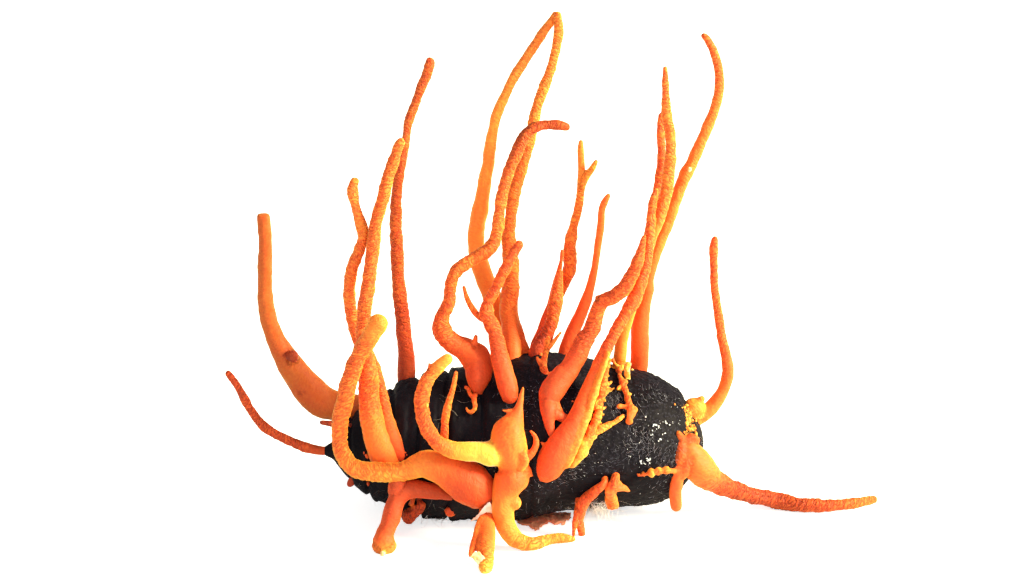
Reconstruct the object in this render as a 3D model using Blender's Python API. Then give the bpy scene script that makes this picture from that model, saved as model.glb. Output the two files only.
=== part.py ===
"""Orange cordyceps growing out of a black silkworm pupa, at real size.

The pupa lies along X, with its pointed tail at -X and its round head at +X, and rests on a small flat
under its belly. The origin is on that flat and Z is up. Stalks, twigs and feet are swept tubes.
Their routes are drawn as one sees them from the front and a little above: each route point says how
far across and how far up it appears, how far back it stands, and how thick the stalk is there.
Lengths are in millimetres until the meshes are made.
"""

import math

import bmesh
import bpy
import numpy as np
from mathutils import Vector
from mathutils.bvhtree import BVHTree

MM = 0.001

# The view in which the routes are drawn
TILT = math.radians(20.0)  # how far the view looks down
EYE = 343.0  # distance of the eye from the pupa's axis
AIM_ACROSS, AIM_UP = -0.16, 11.8  # the point in the middle of the view
SIN, COS = math.sin(TILT), math.cos(TILT)

# The pupa
AXIS_HEIGHT = 6.3  # of the belly's axis over the floor, so that the belly is pressed flat by 0.3
TAIL_END, HEAD_START, HEAD_END = -15.3, 9.0, 15.0
HEAD_RADIUS = 5.5
PUPA_SIDES = 16
# (place along X, height of the middle in the view, radius)
PUPA_OUTLINE = [
    (-15.3, -1.10, 0.35),
    (-14.6, -1.05, 0.80),
    (-13.5, -0.90, 2.35),
    (-12.0, -1.05, 3.45),
    (-10.0, -0.75, 4.65),
    (-8.0, -0.65, 5.45),
    (-6.0, -0.60, 5.92),
    (-4.0, -0.50, 6.12),
    (0.0, 0.05, 6.62),
    (4.0, 0.40, 6.25),
    (7.0, 0.10, 5.85),
    (9.0, -0.05, 5.50),
    (12.0, -0.30, 4.60),
    (15.0, -0.50, 0.35),
]
# The folds between the rings of the abdomen: (place along X, depth)
FOLDS = [(-13.1, 0.22), (-11.7, 0.22), (-9.7, 0.24), (-7.7, 0.24), (-5.4, 0.22), (-2.5, 0.16), (1.2, 0.10)]
FOLD_WIDTH = 0.38

# The tubes
GAP = 0.08  # kept between a piece and the neighbour that it grows from
LIFT = 0.12  # of a strand that creeps over the skin
LYING = 0.04  # how deep a stalk that lies on the floor is pressed flat
SIDES, TWIG_SIDES = 8, 5
TWIG = 0.33  # tubes that stay thinner than this have fewer sides
RING_STEP = 4.2  # between the rings of a straight stalk
RING_TURN = math.radians(44.0)  # a bend gets a ring for each such turn
RING_SWELL = 1.5  # and a swelling gets one for each such change of thickness
SPAN_STEPS = 12  # fine steps between two route points
SLIVER = 5e-6  # metres; edges shorter than this are closed up after a cut
FLOOR, SKIN = "floor", "skin"

# Routes of (across, up, back, radius), from the root to the tip. "back" is how far the point stands
# behind the pupa's axis, or FLOOR for a stalk that lies on the floor, or SKIN for one on the pupa.
# The first route of a piece is its main one, and the others branch off it.
# A piece gives way to those before it, so the thick front ones come first.
STALKS = {
    "loop_left": [
        [
            (-2.3, -3.9, -5.0, 1.15),
            (-2.9, -4.1, -6.0, 1.60),
            (-3.6, -3.75, -6.5, 1.75),
            (-4.6, -3.1, -6.6, 1.62),
            (-5.6, -2.6, -6.55, 1.42),
            (-6.6, -2.3, -6.5, 1.22),
            (-7.5, -2.2, -6.4, 1.06),
            (-8.5, -2.55, -6.4, 0.86),
            (-9.6, -2.78, -6.4, 0.79),
            (-11.2, -2.77, -6.2, 0.78),
            (-12.5, -2.62, -6.0, 0.73),
            (-13.4, -2.05, -5.8, 0.70),
            (-13.95, -1.0, -5.6, 0.67),
            (-14.1, 0.0, -5.5, 0.64),
            (-14.05, 1.0, -5.5, 0.65),
            (-13.75, 2.6, -5.5, 0.69),
            (-13.4, 4.2, -5.6, 0.69),
            (-12.95, 5.6, -5.7, 0.67),
            (-12.5, 6.7, -5.8, 0.65),
            (-11.95, 7.55, -6.0, 0.69),
            (-11.4, 8.4, -6.1, 0.74),
            (-10.95, 9.15, -6.2, 0.76),
            (-10.7, 9.75, -6.3, 0.66),
        ],
    ],
    "hub_front": [
        [
            (-0.3, -2.9, -6.1, 0.80),
            (-0.35, -2.0, -6.8, 1.15),
            (-0.5, -1.0, -7.0, 1.38),
            (-0.58, -0.1, -6.9, 1.45),
            (-0.45, 0.7, -6.7, 1.25),
            (-0.15, 1.4, -6.4, 0.80),
            (0.12, 2.0, -6.2, 0.48),
            (0.3, 2.6, -6.0, 0.28),
            (0.44, 3.3, -5.8, 0.20),
            (0.6, 4.1, -5.6, 0.11),
        ],
        [(0.0, -2.0, -7.0, 0.70), (0.6, -2.6, -6.9, 0.60), (1.1, -3.1, -6.6, 0.38)],
        [
            (0.4, -1.9, -7.2, 0.36),
            (0.95, -1.6, -7.2, 0.32),
            (1.4, -1.1, -7.1, 0.28),
            (1.62, -0.5, -7.0, 0.24),
            (1.5, 0.1, -6.9, 0.18),
            (1.05, 0.62, -6.8, 0.10),
        ],
        [
            (0.1, 2.1, -6.1, 0.16),
            (-0.45, 2.15, -6.2, 0.14),
            (-0.9, 2.1, -6.3, 0.12),
            (-1.16, 2.22, -6.3, 0.10),
        ],
    ],
    "stalk_diagonal": [
        [
            (2.3, -2.9, -5.6, 0.85),
            (2.6, -2.45, -6.2, 1.12),
            (3.0, -1.7, -6.6, 1.22),
            (3.55, -0.8, -6.7, 1.15),
            (4.2, 0.2, -6.4, 1.03),
            (4.85, 1.3, -6.0, 0.85),
            (5.3, 2.4, -5.5, 0.74),
            (5.8, 3.6, -4.9, 0.67),
            (6.3, 4.85, -4.35, 0.59),
            (6.8, 6.1, -4.0, 0.56),
            (7.35, 7.3, -3.7, 0.50),
            (8.0, 8.55, -3.45, 0.46),
            (8.5, 9.44, -3.3, 0.50),
            (9.05, 10.3, -3.2, 0.54),
            (9.42, 11.0, -3.1, 0.58),
            (9.9, 12.2, -3.1, 0.55),
            (10.3, 13.5, -3.0, 0.50),
            (10.6, 15.2, -2.9, 0.45),
            (10.78, 17.0, -2.7, 0.43),
            (10.86, 18.2, -2.6, 0.38),
            (11.05, 19.2, -2.5, 0.30),
            (11.3, 20.0, -2.4, 0.16),
        ],
    ],
    "stalk_long_right": [
        [
            (13.0, -0.2, -2.3, 0.70),
            (13.6, -0.9, -3.0, 0.95),
            (14.2, -1.75, -3.1, 1.18),
            (14.9, -2.7, -2.8, 1.22),
            (15.75, -3.4, -2.2, 0.98),
            (17.0, -4.08, -1.3, 0.76),
            (18.5, -4.56, -0.4, 0.69),
            (20.0, -4.9, 0.2, 0.63),
            (21.2, -5.13, FLOOR, 0.62),
            (22.6, -5.36, FLOOR, 0.58),
            (24.0, -5.47, FLOOR, 0.53),
            (25.4, -5.43, FLOOR, 0.47),
            (26.8, -5.3, FLOOR, 0.39),
            (28.0, -5.1, FLOOR, 0.32),
            (28.9, -4.97, FLOOR, 0.22),
        ],
        [(13.5, -0.5, -3.2, 0.40), (13.1, 0.1, -3.6, 0.26), (12.9, 0.55, -3.7, 0.12)],
    ],
    "hook_front": [
        [
            (-0.6, -1.3, -7.0, 1.00),
            (-1.3, -1.35, -7.3, 1.18),
            (-2.1, -1.3, -7.4, 1.06),
            (-3.0, -1.2, -7.5, 0.86),
            (-4.6, -1.1, -7.5, 0.70),
            (-5.8, -0.75, -7.5, 0.65),
            (-6.6, -0.1, -7.5, 0.62),
            (-7.2, 0.95, -7.5, 0.60),
            (-7.5, 2.1, -7.5, 0.60),
            (-7.52, 3.2, -7.5, 0.60),
            (-7.2, 4.3, -7.4, 0.57),
            (-6.65, 5.1, -7.2, 0.55),
            (-6.0, 5.8, -7.1, 0.50),
            (-5.5, 6.2, -7.0, 0.46),
            (-5.15, 6.55, -7.0, 0.36),
        ],
        [(-6.9, 5.2, -7.2, 0.20), (-6.95, 6.0, -7.2, 0.08)],
    ],
    "curl_front": [
        [
            (-0.35, -2.5, -6.7, 0.95),
            (-0.3, -3.1, -7.0, 1.38),
            (-0.62, -3.8, -7.1, 1.22),
            (-0.95, -4.5, -7.2, 0.95),
            (-1.05, -5.4, -7.4, 0.86),
            (-0.98, -6.4, -7.55, 0.84),
            (-0.75, -7.25, -7.75, 0.79),
            (-0.25, -7.95, -7.9, 0.73),
            (0.6, -8.42, FLOOR, 0.64),
            (1.5, -8.48, FLOOR, 0.55),
            (2.4, -8.25, FLOOR, 0.48),
            (3.3, -8.07, FLOOR, 0.44),
            (4.1, -8.1, FLOOR, 0.36),
            (4.85, -8.17, FLOOR, 0.16),
        ],
        [(-0.9, -5.0, -7.3, 0.55), (-0.3, -5.2, -7.3, 0.60), (0.45, -5.35, -7.2, 0.46)],
    ],
    "foot_left": [
        [
            (-5.0, -4.7, -5.2, 0.35),
            (-6.5, -4.35, -5.9, 0.63),
            (-8.0, -4.15, -6.2, 0.70),
            (-8.85, -4.35, -6.45, 0.70),
            (-9.4, -4.85, -6.7, 0.70),
            (-9.7, -5.5, -6.95, 0.71),
            (-9.9, -6.2, -7.2, 0.71),
            (-10.2, -7.1, -7.6, 0.66),
            (-10.5, -7.8, -7.85, 0.72),
            (-10.55, -8.3, -8.05, 0.86),
            (-10.58, -8.9, -8.25, 0.76),
            (-10.6, -9.6, -8.5, 0.60),
        ],
        [(-9.4, -3.25, -6.3, 0.60), (-9.5, -4.05, -6.45, 0.68), (-9.72, -4.95, -6.75, 0.69)],
    ],
    "foot_centre": [
        [
            (-2.3, -5.2, -5.4, 0.50),
            (-2.3, -6.0, -6.6, 0.60),
            (-2.35, -7.0, -8.1, 0.68),
            (-2.35, -8.0, -9.5, 0.70),
            (-2.35, -9.0, -10.8, 0.66),
            (-2.4, -10.0, -11.9, 0.58),
            (-2.4, -11.0, -12.8, 0.46),
        ],
        [
            (-2.6, -6.8, -8.0, 0.35),
            (-3.05, -7.5, -9.0, 0.28),
            (-3.35, -8.5, -10.2, 0.26),
            (-3.7, -9.6, -11.5, 0.18),
        ],
    ],
    "stalk_left_front": [
        [
            (-10.0, -2.3, -4.1, 1.05),
            (-10.4, -1.7, -4.6, 1.15),
            (-10.9, -0.5, -4.7, 1.08),
            (-11.4, 1.0, -4.5, 0.95),
            (-11.75, 3.0, -4.3, 0.80),
            (-11.8, 5.0, -4.2, 0.73),
            (-12.1, 7.0, -4.2, 0.60),
            (-12.18, 9.0, -4.2, 0.54),
            (-12.0, 11.0, -4.1, 0.53),
            (-11.65, 13.0, -3.9, 0.52),
            (-11.42, 15.0, -3.7, 0.50),
            (-11.2, 17.0, -3.6, 0.47),
            (-10.65, 19.0, -3.4, 0.46),
            (-10.15, 21.0, -3.2, 0.43),
            (-9.75, 22.2, -3.1, 0.41),
            (-9.4, 23.2, -3.0, 0.35),
            (-9.0, 23.9, -3.0, 0.24),
        ],
    ],
    "stalk_left_back": [
        [
            (-9.0, -2.0, -4.2, 0.45),
            (-9.3, -1.3, -4.8, 0.50),
            (-10.1, 0.6, -4.4, 0.55),
            (-10.6, 2.5, -3.4, 0.50),
            (-11.0, 4.5, -2.7, 0.45),
            (-11.6, 6.4, -2.5, 0.36),
            (-12.3, 7.3, -2.5, 0.35),
            (-12.85, 8.2, -2.6, 0.36),
            (-13.1, 9.5, -2.7, 0.40),
            (-13.3, 11.5, -2.8, 0.43),
            (-13.1, 13.4, -2.9, 0.42),
            (-12.5, 15.0, -3.0, 0.39),
            (-12.2, 16.1, -3.1, 0.36),
            (-12.4, 17.1, -3.1, 0.37),
            (-12.8, 18.4, -3.1, 0.33),
            (-13.05, 19.9, -3.1, 0.36),
            (-12.7, 20.75, -3.1, 0.24),
        ],
    ],
    "stalk_elbow": [
        [
            (2.95, -0.1, SKIN, 0.18),
            (2.8, 0.6, SKIN, 0.34),
            (2.65, 1.3, SKIN, 0.44),
            (2.6, 2.1, SKIN, 0.62),
            (2.62, 2.8, -4.95, 0.78),
            (2.8, 3.5, -4.7, 0.96),
            (3.3, 4.3, -4.35, 0.98),
            (3.85, 4.95, -4.1, 0.88),
            (4.25, 5.4, -3.95, 0.80),
            (4.85, 6.4, -3.6, 0.79),
            (5.3, 7.4, -3.4, 0.76),
            (5.98, 8.5, -3.25, 0.71),
            (6.35, 9.44, -3.2, 0.60),
            (6.6, 10.2, -3.25, 0.53),
            (7.0, 10.9, -3.4, 0.56),
            (7.75, 11.2, -3.55, 0.60),
            (8.4, 11.65, -3.7, 0.60),
            (8.85, 12.2, -3.75, 0.57),
            (9.25, 12.95, -3.8, 0.53),
            (9.7, 13.9, -3.7, 0.49),
            (10.0, 14.9, -3.5, 0.38),
            (10.3, 16.2, -3.3, 0.16),
        ],
        [(7.0, 10.9, -3.4, 0.40), (6.6, 11.1, -3.35, 0.28), (6.28, 11.24, -3.3, 0.11)],
        [
            (2.7, 1.95, SKIN, 0.42),
            (3.3, 1.78, SKIN, 0.42),
            (3.85, 1.5, -5.7, 0.38),
            (4.5, 1.4, -5.8, 0.38),
        ],
    ],
    "stalk_swan_neck": [
        [
            (-3.05, 3.65, -2.9, 0.42),
            (-3.03, 4.1, -2.8, 0.72),
            (-3.03, 4.7, -2.6, 0.96),
            (-2.95, 5.3, -2.3, 1.03),
            (-3.0, 5.9, -2.0, 1.08),
            (-3.3, 6.45, -1.8, 1.14),
            (-4.0, 7.0, -1.8, 0.97),
            (-4.83, 7.38, -1.9, 0.82),
            (-5.4, 7.85, -2.05, 0.79),
            (-5.85, 8.45, -2.2, 0.75),
            (-6.0, 9.1, -2.2, 0.65),
            (-5.8, 9.84, -2.2, 0.53),
            (-5.35, 10.8, -2.1, 0.49),
            (-5.2, 12.2, -1.9, 0.47),
            (-4.85, 13.15, -1.8, 0.50),
            (-4.1, 13.8, -1.7, 0.50),
            (-3.2, 14.35, -1.5, 0.50),
            (-2.4, 14.85, -1.4, 0.54),
            (-1.8, 15.5, -1.3, 0.50),
            (-1.45, 16.7, -1.1, 0.47),
            (-1.25, 18.5, -0.9, 0.47),
            (-0.95, 20.0, -0.8, 0.43),
            (-0.5, 21.4, -0.7, 0.45),
            (0.0, 22.6, -0.6, 0.45),
            (0.4, 23.6, -0.5, 0.45),
            (0.95, 24.35, -0.4, 0.43),
            (1.7, 24.8, -0.2, 0.40),
            (2.6, 24.96, 0.0, 0.35),
            (3.5, 24.93, 0.1, 0.36),
            (4.4, 24.68, 0.2, 0.26),
        ],
        [(-3.3, 7.3, -2.2, 0.24), (-3.18, 8.24, -2.4, 0.16)],
    ],
    "stalk_centre_front": [
        [
            (-0.38, 2.8, -3.7, 0.40),
            (-0.48, 3.25, -4.1, 0.62),
            (-0.68, 4.1, -3.9, 0.76),
            (-1.02, 5.4, -3.3, 0.78),
            (-1.23, 6.3, -3.0, 0.71),
            (-1.47, 7.5, -2.65, 0.65),
            (-1.75, 8.5, -2.4, 0.58),
            (-2.1, 9.2, -2.3, 0.56),
            (-2.35, 9.95, -2.3, 0.57),
            (-2.2, 10.8, -2.3, 0.46),
            (-1.65, 11.8, -2.3, 0.40),
            (-1.1, 13.0, -2.4, 0.42),
            (-0.6, 13.95, -2.5, 0.43),
            (-0.15, 14.8, -2.5, 0.41),
            (0.5, 15.7, -2.6, 0.28),
        ],
    ],
    "stalk_centre_right": [
        [
            (-0.35, 5.7, 0.7, 0.72),
            (-0.35, 6.6, 1.1, 0.76),
            (-0.38, 7.6, 1.7, 0.74),
            (-0.45, 9.0, 2.3, 0.70),
            (-0.58, 10.3, 2.6, 0.67),
            (-0.45, 12.0, 2.6, 0.65),
            (-0.4, 14.0, 2.6, 0.60),
            (-0.6, 16.0, 2.6, 0.50),
            (-0.4, 17.8, 2.6, 0.44),
            (-0.05, 19.8, 2.6, 0.49),
            (0.4, 21.4, 2.6, 0.45),
            (0.9, 23.1, 2.6, 0.43),
            (1.35, 24.8, 2.6, 0.40),
            (1.65, 26.2, 2.7, 0.37),
            (2.15, 27.7, 2.8, 0.38),
            (2.75, 29.3, 2.8, 0.33),
            (3.15, 30.8, 2.9, 0.30),
            (3.42, 32.2, 3.0, 0.35),
            (3.38, 33.3, 3.1, 0.30),
            (3.3, 34.1, 3.2, 0.22),
        ],
        [
            (0.55, 5.9, 1.5, 0.55),
            (0.45, 6.9, 1.8, 0.59),
            (0.2, 8.0, 2.1, 0.53),
            (-0.05, 9.1, 2.4, 0.38),
            (-0.25, 10.0, 2.6, 0.20),
        ],
    ],
    "stalk_centre_left": [
        [
            (-0.5, 5.4, 3.6, 0.70),
            (-0.45, 6.8, 4.1, 0.75),
            (-0.75, 8.2, 4.3, 0.75),
            (-1.25, 9.6, 4.4, 0.75),
            (-1.75, 10.9, 4.4, 0.75),
            (-2.3, 12.2, 4.4, 0.75),
            (-2.8, 13.6, 4.3, 0.72),
            (-3.15, 15.0, 4.2, 0.66),
            (-3.15, 16.6, 4.1, 0.65),
            (-2.8, 18.4, 4.0, 0.61),
            (-2.55, 20.0, 3.9, 0.55),
            (-2.25, 21.6, 3.8, 0.49),
            (-2.0, 23.6, 3.7, 0.46),
            (-1.75, 24.9, 3.6, 0.39),
            (-1.4, 26.1, 3.6, 0.42),
            (-0.85, 27.3, 3.6, 0.39),
            (-0.25, 28.6, 3.6, 0.38),
            (0.7, 30.1, 3.6, 0.38),
            (1.5, 31.3, 3.6, 0.36),
            (2.3, 32.5, 3.6, 0.33),
            (2.9, 33.3, 3.6, 0.30),
            (3.25, 34.05, 3.6, 0.20),
        ],
    ],
    "stalk_left_tall": [
        [
            (-8.7, 3.3, 2.6, 0.62),
            (-8.75, 5.2, 2.9, 0.67),
            (-8.85, 7.2, 3.0, 0.60),
            (-9.1, 9.8, 3.1, 0.55),
            (-9.35, 12.2, 3.1, 0.50),
            (-9.5, 14.8, 3.1, 0.47),
            (-9.6, 17.4, 3.0, 0.44),
            (-9.5, 19.6, 2.9, 0.42),
            (-9.2, 21.6, 2.8, 0.37),
            (-8.95, 22.9, 2.8, 0.35),
            (-8.75, 24.0, 2.7, 0.31),
            (-8.6, 25.1, 2.7, 0.35),
            (-8.2, 26.2, 2.7, 0.31),
            (-7.9, 27.0, 2.7, 0.29),
            (-7.5, 28.1, 2.6, 0.35),
            (-7.0, 29.3, 2.6, 0.37),
            (-6.8, 30.4, 2.6, 0.30),
        ],
    ],
    "stalk_far_left": [
        [
            (-11.0, 1.4, 2.0, 0.85),
            (-12.4, 2.3, 2.4, 1.00),
            (-13.9, 2.45, 2.6, 1.15),
            (-15.3, 2.75, 2.7, 1.27),
            (-16.4, 3.65, 2.8, 1.26),
            (-17.5, 5.0, 2.9, 1.10),
            (-18.5, 6.5, 3.0, 0.87),
            (-19.3, 8.1, 3.0, 0.71),
            (-19.8, 9.6, 3.0, 0.64),
            (-20.05, 11.4, 3.0, 0.57),
            (-20.05, 13.6, 3.0, 0.54),
            (-20.05, 15.8, 3.0, 0.52),
            (-20.2, 17.8, 3.0, 0.44),
        ],
        [(-18.1, 6.1, 2.6, 0.50), (-17.55, 6.75, 2.4, 0.36)],
    ],
    "stalk_left_thin": [
        [
            (-14.8, -1.05, 0.0, 0.28),
            (-15.6, -1.08, 0.0, 0.34),
            (-16.8, -0.82, -0.1, 0.38),
            (-18.0, -0.35, -0.2, 0.36),
            (-19.0, 0.15, -0.3, 0.34),
            (-19.8, 0.6, -0.4, 0.38),
            (-20.6, 1.35, -0.5, 0.37),
            (-21.2, 2.2, -0.5, 0.34),
            (-21.75, 3.15, -0.6, 0.31),
            (-22.3, 4.15, -0.6, 0.30),
            (-23.15, 5.3, -0.6, 0.20),
        ],
    ],
    "stub_left": [
        [
            (-12.6, 0.7, -0.6, 0.26), (-13.6, 0.9, -0.9, 0.24),
            (-14.6, 1.05, -1.0, 0.22), (-15.75, 1.2, -1, 0.16),
        ],
    ],
    "twig_centre": [
        [
            (-2.2, 9.3, -1.9, 0.26),
            (-2.9, 9.6, -1.6, 0.25),
            (-3.45, 10.25, -1.4, 0.22),
            (-3.9, 11.1, -1.3, 0.18),
            (-4.2, 12.15, -1.2, 0.11),
        ],
    ],
    "stub_top": [
        [
            (1.5, 6.1, 0.9, 0.50),
            (1.7, 7.0, 1.0, 0.58),
            (2.3, 8.0, 1.1, 0.54),
            (2.8, 8.9, 1.1, 0.51),
            (3.03, 9.94, 1.1, 0.56),
            (3.2, 10.96, 1.1, 0.59),
            (3.33, 12.0, 1.2, 0.45),
            (3.47, 13.0, 1.2, 0.28),
            (3.57, 13.5, 1.3, 0.15),
        ],
    ],
    "stalk_slender": [
        [
            (1.4, 6.2, 1.8, 0.40),
            (1.6, 7.4, 2.1, 0.40),
            (1.98, 8.3, 2.2, 0.35),
            (2.3, 9.3, 2.2, 0.29),
            (2.75, 10.5, 2.2, 0.27),
            (3.07, 11.8, 2.2, 0.25),
            (3.35, 12.8, 2.2, 0.22),
            (3.53, 13.6, 2.2, 0.17),
            (3.62, 14.1, 2.1, 0.13),
            (3.68, 14.6, 2.1, 0.15),
            (3.71, 15.05, 2.1, 0.10),
        ],
    ],
    "stalk_forked": [
        [
            (2.0, 5.8, 2.6, 0.36),
            (2.4, 7.1, 2.8, 0.36),
            (2.8, 8.7, 3.0, 0.35),
            (3.25, 10.6, 3.1, 0.36),
            (3.6, 11.6, 3.1, 0.38),
            (3.95, 12.4, 3.1, 0.42),
            (4.25, 13.3, 3.1, 0.51),
            (4.35, 14.4, 3.1, 0.54),
            (4.36, 15.6, 3.1, 0.46),
            (4.6, 16.8, 3.1, 0.38),
            (5.0, 18.4, 3.1, 0.31),
            (5.2, 20.1, 3.1, 0.29),
            (5.24, 21.5, 3.1, 0.25),
            (5.18, 22.8, 3.1, 0.25),
            (5.2, 23.8, 3.1, 0.16),
        ],
        [
            (5.18, 19.5, 3.1, 0.24),
            (5.35, 20.3, 3.0, 0.27),
            (5.75, 21.0, 2.8, 0.25),
            (6.15, 21.55, 2.6, 0.21),
            (6.5, 22.2, 2.5, 0.12),
        ],
    ],
    "stalk_curved": [
        [
            (3.8, 5.6, 1.8, 0.50),
            (3.95, 6.7, 2.0, 0.56),
            (4.25, 7.7, 2.1, 0.55),
            (4.6, 8.5, 2.2, 0.53),
            (5.03, 9.5, 2.2, 0.49),
            (5.45, 10.45, 2.2, 0.42),
            (5.8, 11.5, 2.2, 0.36),
            (6.07, 12.5, 2.2, 0.30),
            (6.32, 13.7, 2.2, 0.27),
            (6.55, 15.3, 2.2, 0.27),
            (6.76, 16.8, 2.2, 0.26),
            (6.87, 18.1, 2.2, 0.26),
            (7.1, 18.8, 2.2, 0.27),
            (7.52, 19.5, 2.2, 0.15),
        ],
    ],
    "stalk_dagger": [
        [
            (10.7, 15.0, -2.5, 0.24),
            (11.0, 16.2, -2.3, 0.30),
            (11.45, 17.3, -2.1, 0.36),
            (11.75, 18.5, -1.9, 0.43),
            (12.1, 20.0, -1.7, 0.45),
            (12.28, 21.5, -1.7, 0.40),
            (12.4, 23.0, -1.6, 0.38),
            (12.3, 24.4, -1.5, 0.37),
            (12.05, 25.8, -1.4, 0.35),
            (12.0, 27.2, -1.4, 0.27),
            (11.97, 28.4, -1.3, 0.22),
            (11.95, 29.7, -1.3, 0.14),
        ],
    ],
    "stalk_sickle": [
        [
            (9.4, 3.8, 2.5, 0.70),
            (9.78, 5.6, 2.7, 0.72),
            (9.9, 7.2, 2.6, 0.69),
            (9.95, 8.9, 2.5, 0.67),
            (10.1, 10.1, 2.4, 0.60),
            (10.38, 11.2, 2.3, 0.51),
            (10.6, 12.8, 2.1, 0.50),
            (10.95, 14.2, 2.0, 0.50),
            (11.5, 15.8, 1.9, 0.49),
            (12.15, 17.2, 1.8, 0.48),
            (12.75, 19.0, 1.7, 0.48),
            (13.5, 20.8, 1.7, 0.48),
            (14.15, 22.1, 1.7, 0.47),
            (14.8, 23.6, 1.7, 0.43),
            (15.45, 25.1, 1.7, 0.40),
            (16.0, 26.5, 1.7, 0.37),
            (16.27, 28.0, 1.7, 0.35),
            (16.2, 29.4, 1.8, 0.32),
            (15.85, 30.7, 1.9, 0.30),
            (15.3, 31.8, 2.0, 0.27),
            (14.8, 32.25, 2.0, 0.18),
        ],
    ],
    "stalk_behind": [
        [
            (8.2, 4.2, 1.8, 0.50),
            (8.25, 6.0, 1.7, 0.50),
            (8.5, 8.0, 1.4, 0.45),
            (9.0, 9.7, 1.2, 0.42),
            (9.6, 11.6, 0.9, 0.42),
            (10.15, 13.7, 0.6, 0.42),
            (10.6, 16.0, 0.3, 0.41),
            (11.05, 18.2, 0.2, 0.38),
            (11.4, 20.2, 0.2, 0.34),
            (11.63, 21.8, 0.2, 0.35),
            (11.62, 23.4, 0.2, 0.32),
            (11.56, 24.8, 0.2, 0.27),
            (11.62, 26.0, 0.2, 0.17),
        ],
    ],
    "stalk_whip": [
        [
            (13.2, 0.6, 0.6, 0.55),
            (14.6, 1.7, 0.6, 0.66),
            (15.4, 2.2, 0.6, 0.59),
            (16.0, 2.85, 0.6, 0.50),
            (16.6, 3.8, 0.6, 0.43),
            (16.93, 5.0, 0.6, 0.42),
            (16.85, 6.3, 0.6, 0.38),
            (16.5, 7.7, 0.6, 0.36),
            (16.28, 9.2, 0.6, 0.32),
            (16.05, 10.7, 0.6, 0.29),
            (15.87, 12.2, 0.6, 0.28),
            (15.82, 13.7, 0.6, 0.27),
            (15.82, 15.1, 0.6, 0.30),
            (15.95, 16.1, 0.6, 0.20),
        ],
        [(13.2, 1.1, 0.1, 0.60), (13.9, 1.9, 0.1, 0.80), (14.4, 2.6, 0.1, 0.78), (14.6, 3.1, 0.1, 0.60)],
        [(14.5, 2.6, 0.1, 0.35), (15.1, 3.25, 0.0, 0.14)],
    ],
    "finger_right": [
        [
            (13.3, -1.5, -3.0, 0.60),
            (13.05, -2.4, -3.9, 0.52),
            (12.85, -3.3, -4.0, 0.47),
            (12.75, -4.4, -3.8, 0.48),
            (12.8, -5.3, -3.7, 0.45),
            (12.9, -5.95, -3.7, 0.34),
        ],
        [
            (9.8, -3.1, SKIN, 0.13), (11.0, -2.8, SKIN, 0.18),
            (12.2, -2.72, SKIN, 0.22), (13.0, -2.7, -3.9, 0.2),
        ],
    ],
    "toe_right": [
        [
            (7.1, -3.65, SKIN, 0.26),
            (6.55, -4.15, SKIN, 0.34),
            (6.0, -4.6, -5.5, 0.41),
            (5.5, -5.05, -5.6, 0.45),
            (5.15, -5.8, -5.5, 0.44),
            (5.05, -6.6, -5.3, 0.36),
            (5.2, -7.3, -5.2, 0.30),
            (5.3, -8.0, -5.1, 0.24),
        ],
        [
            (5.0, -5.8, -5.6, 0.28), (4.75, -6.5, -5.7, 0.20),
            (4.65, -7.2, -5.7, 0.16), (4.6, -8.1, -5.6, 0.1),
        ],
    ],
    "toe_stub": [
        [
            (7.95, -3.4, SKIN, 0.32), (7.65, -4.0, SKIN, 0.44),
            (7.6, -4.8, -5.2, 0.43), (7.75, -5.65, -5.1, 0.5),
        ],
        [(8.05, -3.75, SKIN, 0.23), (8.6, -4.05, SKIN, 0.17), (9.15, -4.35, SKIN, 0.09)],
    ],
    "twig_front": [
        [
            (-5.7, -1.0, -5.2, 0.27),
            (-5.7, 0.2, -5.9, 0.28),
            (-5.65, 1.5, -5.9, 0.28),
            (-5.4, 2.7, -5.8, 0.25),
            (-5.0, 4.0, -5.6, 0.20),
            (-4.75, 5.35, -5.4, 0.12),
        ],
    ],
    "twig_hooked": [
        [
            (-3.18, 3.4, SKIN, 0.16),
            (-3.33, 2.95, SKIN, 0.18),
            (-3.26, 2.55, SKIN, 0.17),
            (-3.33, 2.2, SKIN, 0.15),
            (-3.6, 2.0, SKIN, 0.14),
            (-3.88, 2.14, SKIN, 0.12),
            (-3.97, 2.45, SKIN, 0.10),
        ],
        [
            (-3.35, 3.0, SKIN, 0.15),
            (-3.65, 3.45, SKIN, 0.15),
            (-3.8, 3.85, SKIN, 0.15),
            (-4.12, 4.05, SKIN, 0.13),
        ],
    ],
    "twig_top": [
        [
            (2.55, 4.4, -2.2, 0.22),
            (2.42, 4.95, -2.3, 0.25),
            (2.2, 5.6, -1.9, 0.27),
            (2.25, 6.15, -1.7, 0.23),
            (2.36, 6.7, -1.5, 0.20),
            (2.5, 7.3, -1.3, 0.20),
            (2.56, 8.15, -1.1, 0.14),
        ],
        [
            (2.45, 6.95, -1.4, 0.17),
            (2.9, 7.45, -1.3, 0.15),
            (3.3, 8.0, -1.2, 0.12),
            (3.7, 8.5, -1.1, 0.08),
        ],
        [(2.2, 5.6, -1.9, 0.16), (1.92, 5.9, -1.85, 0.14), (1.63, 6.5, -1.75, 0.10)],
        [(2.35, 4.75, -2.3, 0.16), (2.7, 4.95, -2.3, 0.15), (2.92, 5.3, -2.3, 0.10)],
    ],
    "fringe_diagonal": [
        [
            (4.5, -2.2, SKIN, 0.34),
            (5.1, -1.3, SKIN, 0.44),
            (5.7, -0.35, SKIN, 0.48),
            (6.1, 0.6, SKIN, 0.42),
            (6.45, 1.5, SKIN, 0.35),
            (6.65, 2.4, SKIN, 0.32),
            (6.8, 3.3, -4.4, 0.30),
            (6.95, 4.3, -4.0, 0.28),
            (7.2, 5.3, -3.7, 0.25),
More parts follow.
